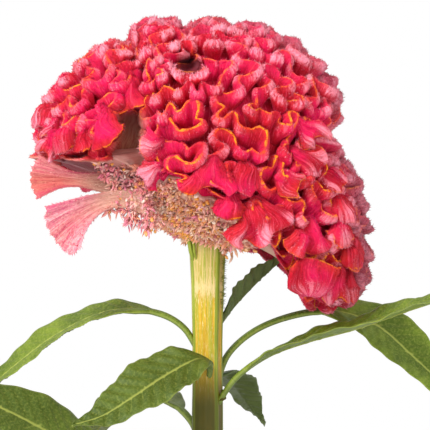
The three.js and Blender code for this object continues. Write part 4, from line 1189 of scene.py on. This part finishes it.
def make_leaf(order, name, width, stalk, wave, fold, up0, up1, path):
    rows, cols = 100, 23
    line, way, length = catmull(path, rows)
    chance = seeded(100 + order)
    phase, beat = chance() * 2 * math.pi, (3.2 + 1.2 * chance()) * 2 * math.pi
    t = np.linspace(0, 1, rows)[:, None]
    up0, up1 = np.array(up0, float), np.array(up1, float)
    up = up0 + (up1 - up0) * smooth(0.1, 0.9, t)
    up = unit(up - way * (up * way).sum(1, keepdims=True))
    side = np.cross(up, way)
    u = np.linspace(-1, 1, cols)[None, :]
    a = np.abs(u)
    half = leaf_half(stalk, width, t)
    blade = smooth(stalk * 0.8, stalk + 0.15, t)
    lift = half * a * math.tan(fold * DEG) * blade
    ripple = wave * blade * u * u * np.sin(beat * t + phase + np.where(u > 0, 1.9, 0))
    ripple = ripple + 0.35 * blade * a ** 3 * np.sin(3.1 * beat * t + 2 * phase + 4 * u)
    along_mm = t * length
    slant = (along_mm - a * half * 0.9) / VEIN_STEP + 0.5 * (u > 0)
    dist = np.abs(slant - np.round(slant)) * VEIN_STEP
    vein = np.exp(-((dist / 0.42) ** 2)) * smooth(1.0, 0.8, a) * blade
    rib = np.exp(-((a * half / (0.75 * (1.1 - 0.7 * t))) ** 2)) * (0.25 + 0.75 * blade)
    pleat = 0.42 * blade * np.cos(2 * math.pi * slant) * smooth(0.0, 0.25, a) * smooth(1.0, 0.75, a)
    middle = line[:, None, :] + side[:, None, :] * (half * u)[..., None]
    middle = middle + up[:, None, :] * (lift + ripple - pleat)[..., None]
    thick = STALK_THICK + (BLADE_THICK - STALK_THICK) * blade
    edge = np.sqrt(np.clip(1 - (a * 0.995) ** 8, 0, 1))
    parts = []
    for face in (1, -1):
        relief = -0.22 * rib - 0.12 * vein if face > 0 else 0.75 * rib + 0.2 * vein
        skin = face * (thick / 2 * edge + relief)
        p = middle + up[:, None, :] * skin[..., None]
        tint = np.stack([np.maximum(vein * 0.6, rib), np.full_like(rib, face < 0), a + 0 * t], -1)
        uv = np.stack([u * half + 0 * t, along_mm + 0 * u], -1)
        parts.append((p.reshape(-1, 3), uv.reshape(-1, 2), tint.reshape(-1, 3)))
    grid, n = grid_faces(rows, cols), rows * cols
    border = [i * cols for i in range(rows)] + [(rows - 1) * cols + j for j in range(1, cols)]
    border += [i * cols + cols - 1 for i in range(rows - 2, -1, -1)] + [j for j in range(cols - 2, 0, -1)]
    rim = np.array([(p, q, q + n, p + n) for p, q in zip(border, border[1:] + border[:1])])
    faces = np.concatenate([grid, grid[:, ::-1] + n, rim])
    points, uv, tint = (np.concatenate([part[k] for part in parts]) for k in range(3))
    make_piece(f"leaf_{name}", (points, faces, uv, tint), (LEAF_SKIN[name], "green", "leafy_stem"))


def leaf_material(name, dark, mid, vein):
    m = Nodes(name, 0.52, specular=0.22)
    veins, under, edge = m.tint()[:3]
    patch = m.noise(m.place(), 60.0, detail=4.0)
    fine = m.noise(m.uv((0.9, 0.9, 1)), detail=4.0, roughness=0.7)
    furrow = m.noise(m.uv((0.08, 0.3, 1)), detail=2.0)
    green = m.layers(
        m.between(patch, 0.38, 0.62, dark, mid), (furrow, 0.42, 0.6, 0.5, 0, dark),
        (fine, 0.4, 0.75, 0, 0.35, vein), (edge, 0.93, 1, 0, 0.35, vein),
    )
    green = m.mix(m.times(under, 0.45), green, "7c8a50")
    green = m.layers(green, (veins, 0.25, 0.95, 0, 0.85, vein))
    return m.finished(green, fine, 0.0003, 0.5)


# Three copies of one leaf look: light for the upper leaves, dark for most, and a darker, greyer copy as
# painted shade for the two leaves at the back
LIGHT_LEAF = leaf_material("leaf_light", "4c6210", "6e8222", "aab254")
DARK_LEAF = leaf_material("leaf_dark", "3e5014", "566824", "98a04c")
SHADED_LEAF = leaf_material("leaf_shaded", "28381c", "3e4e2a", "667444")
LEAF_SKIN = {leaf[0]: DARK_LEAF for leaf in LEAVES}
LEAF_SKIN.update(dict.fromkeys(("upper_left", "right_long", "right_drooping"), LIGHT_LEAF))
LEAF_SKIN.update(dict.fromkeys(("back_right", "behind"), SHADED_LEAF))


# Pot and soil

POT_SIDES = 160
# The pot's outline as (radius, height): underside, outside, rim, inside and floor
POT_PROFILE = [
    (0.1, 0), (10, 0), (45, 0), (46.2, 0.3), (46.8, 0.9), (47, 1.6), (53, 33), (59, 64), (64.4, 94),
    (65.3, 98.4), (66.2, 100.2), (67.5, 100.9), (69.5, 101), (70.5, 101.5), (71, 102.6), (71, 112),
    (71, 122.4), (70.6, 124), (69.6, 124.9), (68, 125), (67, 124.9), (66.1, 124.2), (65.9, 123),
    (63.4, 112), (61, 101), (60, 97), (56, 76), (50, 44), (44, 14), (42.5, 8.8), (41, 7), (20, 7), (0.1, 7),
]
CRUMBS = 900


def clay_material():
    m = Nodes("terracotta", 0.86, specular=0.25)
    shade = m.tint()[0]
    blotch = m.noise(m.place(), 14.0, detail=5.0, roughness=0.6)
    grain = m.noise(m.place(), 420.0, roughness=0.7)
    turned = m.noise(m.place((0.3, 0.3, 40)), 6.0, detail=2.0)
    clay = m.layers(
        m.between(blotch, 0.35, 0.65, "b5643f", "c97a50"),
        (grain, 0.45, 0.8, 0, 0.4, "dd9a72"), (turned, 0.4, 0.7, 0, 0.25, "a05030"),
    )
    bloom = m.times(shade, m.span(blotch, 0.4, 0.7, 0.2, 1))
    clay = m.mix(m.times(bloom, 0.55), clay, "e0c4ac")
    return m.finished(clay, m.plus(m.times(grain, 0.5), turned), 0.0005, 0.6)


def pot_mesh():
    t = turns(POT_SIDES)
    rings = [np.stack([r * np.cos(t), r * np.sin(t), np.full(POT_SIDES, z)], 1) for r, z in POT_PROFILE]
    points = np.concatenate(rings)
    z = points[:, 2]
    shade = np.maximum(smooth(30, 0, z), smooth(112, 125, z)) * 0.8 + 0.2 * smooth(60, 90, z)
    uv = np.stack([np.tile(t * 60, len(rings)), z], 1)
    return points, grid_faces(len(rings), POT_SIDES, ring=True), uv, np.stack([shade, shade, shade], 1)


def soil_material():
    m = Nodes("potting_soil", 0.95, specular=0.15)
    grain = m.noise(m.place(), 260.0, detail=4.0, roughness=0.7)
    earth = m.between(grain, 0.35, 0.7, "2a1b12", "54392a")
    return m.finished(m.mix(m.tint()[0], earth, "8a6a4c"), grain, 0.0012, 0.9)


def soil_height(x, y, radius):
    broad = np.sin(0.31 * x + 1.3) * np.cos(0.27 * y - 0.4)
    crumbs = 2.6 * (0.45 * broad + 0.35 * np.sin(0.55 * x - 0.47 * y + 2))
    return SOIL_LEVEL + crumbs + 3 * (1 - np.hypot(x, y) / radius)


def soil_mesh():
    """An uneven surface that ends round the stem, with loose crumbs on it."""
    sides, rows, radius = 150, 50, 61.9
    t = turns(sides)
    r = np.concatenate([[radius - 1.2], np.linspace(radius, 6.0, rows)])
    rr, tt = np.meshgrid(r, t, indexing="ij")
    x, y = rr * np.cos(tt), rr * np.sin(tt)
    p = np.stack([x, y, soil_height(x, y, radius)], -1).reshape(-1, 3)
    p[:, 2] += 0.5 * wavy(p, 3.2, 11) + 0.35 * wavy(p, 1.7, 12)
    p[:sides, 2] -= 12
    parts = [(p, grid_faces(rows + 1, sides, ring=True), p[:, :2], np.zeros((len(p), 3)))]
    rng = np.random.default_rng(9)
    cube = np.array([(x, y, z) for x in (-1, 1) for y in (-1, 1) for z in (-1, 1)], float)
    quads = np.array([(0, 1, 3, 2), (4, 6, 7, 5), (0, 4, 5, 1), (2, 3, 7, 6), (0, 2, 6, 4), (1, 5, 7, 3)])
    for _ in range(CRUMBS):
        far, turn = math.sqrt(rng.uniform(0.02, 0.93)) * radius, rng.uniform(0, 2 * math.pi)
        x, y = far * math.cos(turn), far * math.sin(turn)
        size = rng.uniform(0.5, 1.7)
        shape = cube * rng.uniform(0.55, 1.0, (8, 3)) * size * [1, 1, 0.7]
        p = shape + [x, y, soil_height(x, y, radius) + 0.3]
        light = rng.uniform(0.5, 1) if rng.uniform() < 0.12 else rng.uniform(0, 0.25)
        parts.append((p, quads, p[:, :2], np.full((8, 3), light)))
    return joined(parts)


CREST_LOOK = (crest_material(), "crest", "comb_crest")
make_crest(CREST_LOOK)
make_core(CREST_LOOK)
make_flank((flank_material(), "flank", "comb_base"))
make_florets((floret_material(), "flank", "comb_base"))
make_stem((stem_material(), "green", "leafy_stem"))
for k, leaf in enumerate(LEAVES):
    make_leaf(k, *leaf)
make_piece("pot_clay", pot_mesh(), (clay_material(), "clay", "pot"))
make_piece("soil_surface", soil_mesh(), (soil_material(), "soil", "soil"))


# Floor, light and camera

FLOOR_HALF = 1.1
white = Nodes("floor_white", 0.9, specular=0.2)
white.shader.inputs["Base Color"].default_value = (0.9, 0.9, 0.9, 1)
floor_mesh = bpy.data.meshes.new("floor")
corners = [(x * FLOOR_HALF, y * FLOOR_HALF, 0) for x, y in ((-1, -1), (1, -1), (1, 1), (-1, 1))]
floor_mesh.from_pydata(corners, [], [(0, 1, 2, 3)])
floor = bpy.data.objects.new("floor", floor_mesh)
floor_mesh.materials.append(white.material)
bpy.context.scene.collection.objects.link(floor)

world = bpy.data.worlds.new("studio")
world.use_nodes = True
sky = world.node_tree.nodes["Background"].inputs
sky["Color"].default_value = (1, 1, 1, 1)
sky["Strength"].default_value = 1.0
bpy.context.scene.world = world
bpy.context.scene.view_settings.view_transform = "Standard"

AIM = np.array([3.4, 0, 275.3]) * MM


def look_at_comb(thing):
    thing.rotation_euler = Vector(AIM - np.array(thing.location)).to_track_quat("-Z", "Y").to_euler()
    bpy.context.scene.collection.objects.link(thing)


def lamp(name, azimuth, elevation, far, size, power):
    """A soft square light that looks at the comb; azimuth 0 is the camera's side, 90 the right."""
    a, e = azimuth * DEG, elevation * DEG
    data = bpy.data.lights.new(name, "AREA")
    data.energy, data.size = power, size
    lit = bpy.data.objects.new(name, data)
    lit.location = AIM + far * np.array([math.sin(a) * math.cos(e), -math.cos(a) * math.cos(e), math.sin(e)])
    look_at_comb(lit)


lamp("key", -38, 40, 1.3, 0.4, 14.5)
lamp("fill", 25, 8, 1.6, 1.0, 4)

EYE_FAR, EYE_UP = 1.003, 3.5 * DEG
camera_data = bpy.data.cameras.new("camera")
camera_data.lens = 200
camera = bpy.data.objects.new("camera", camera_data)
camera.location = AIM + EYE_FAR * np.array([0, -math.cos(EYE_UP), math.sin(EYE_UP)])
look_at_comb(camera)
bpy.context.scene.camera = camera
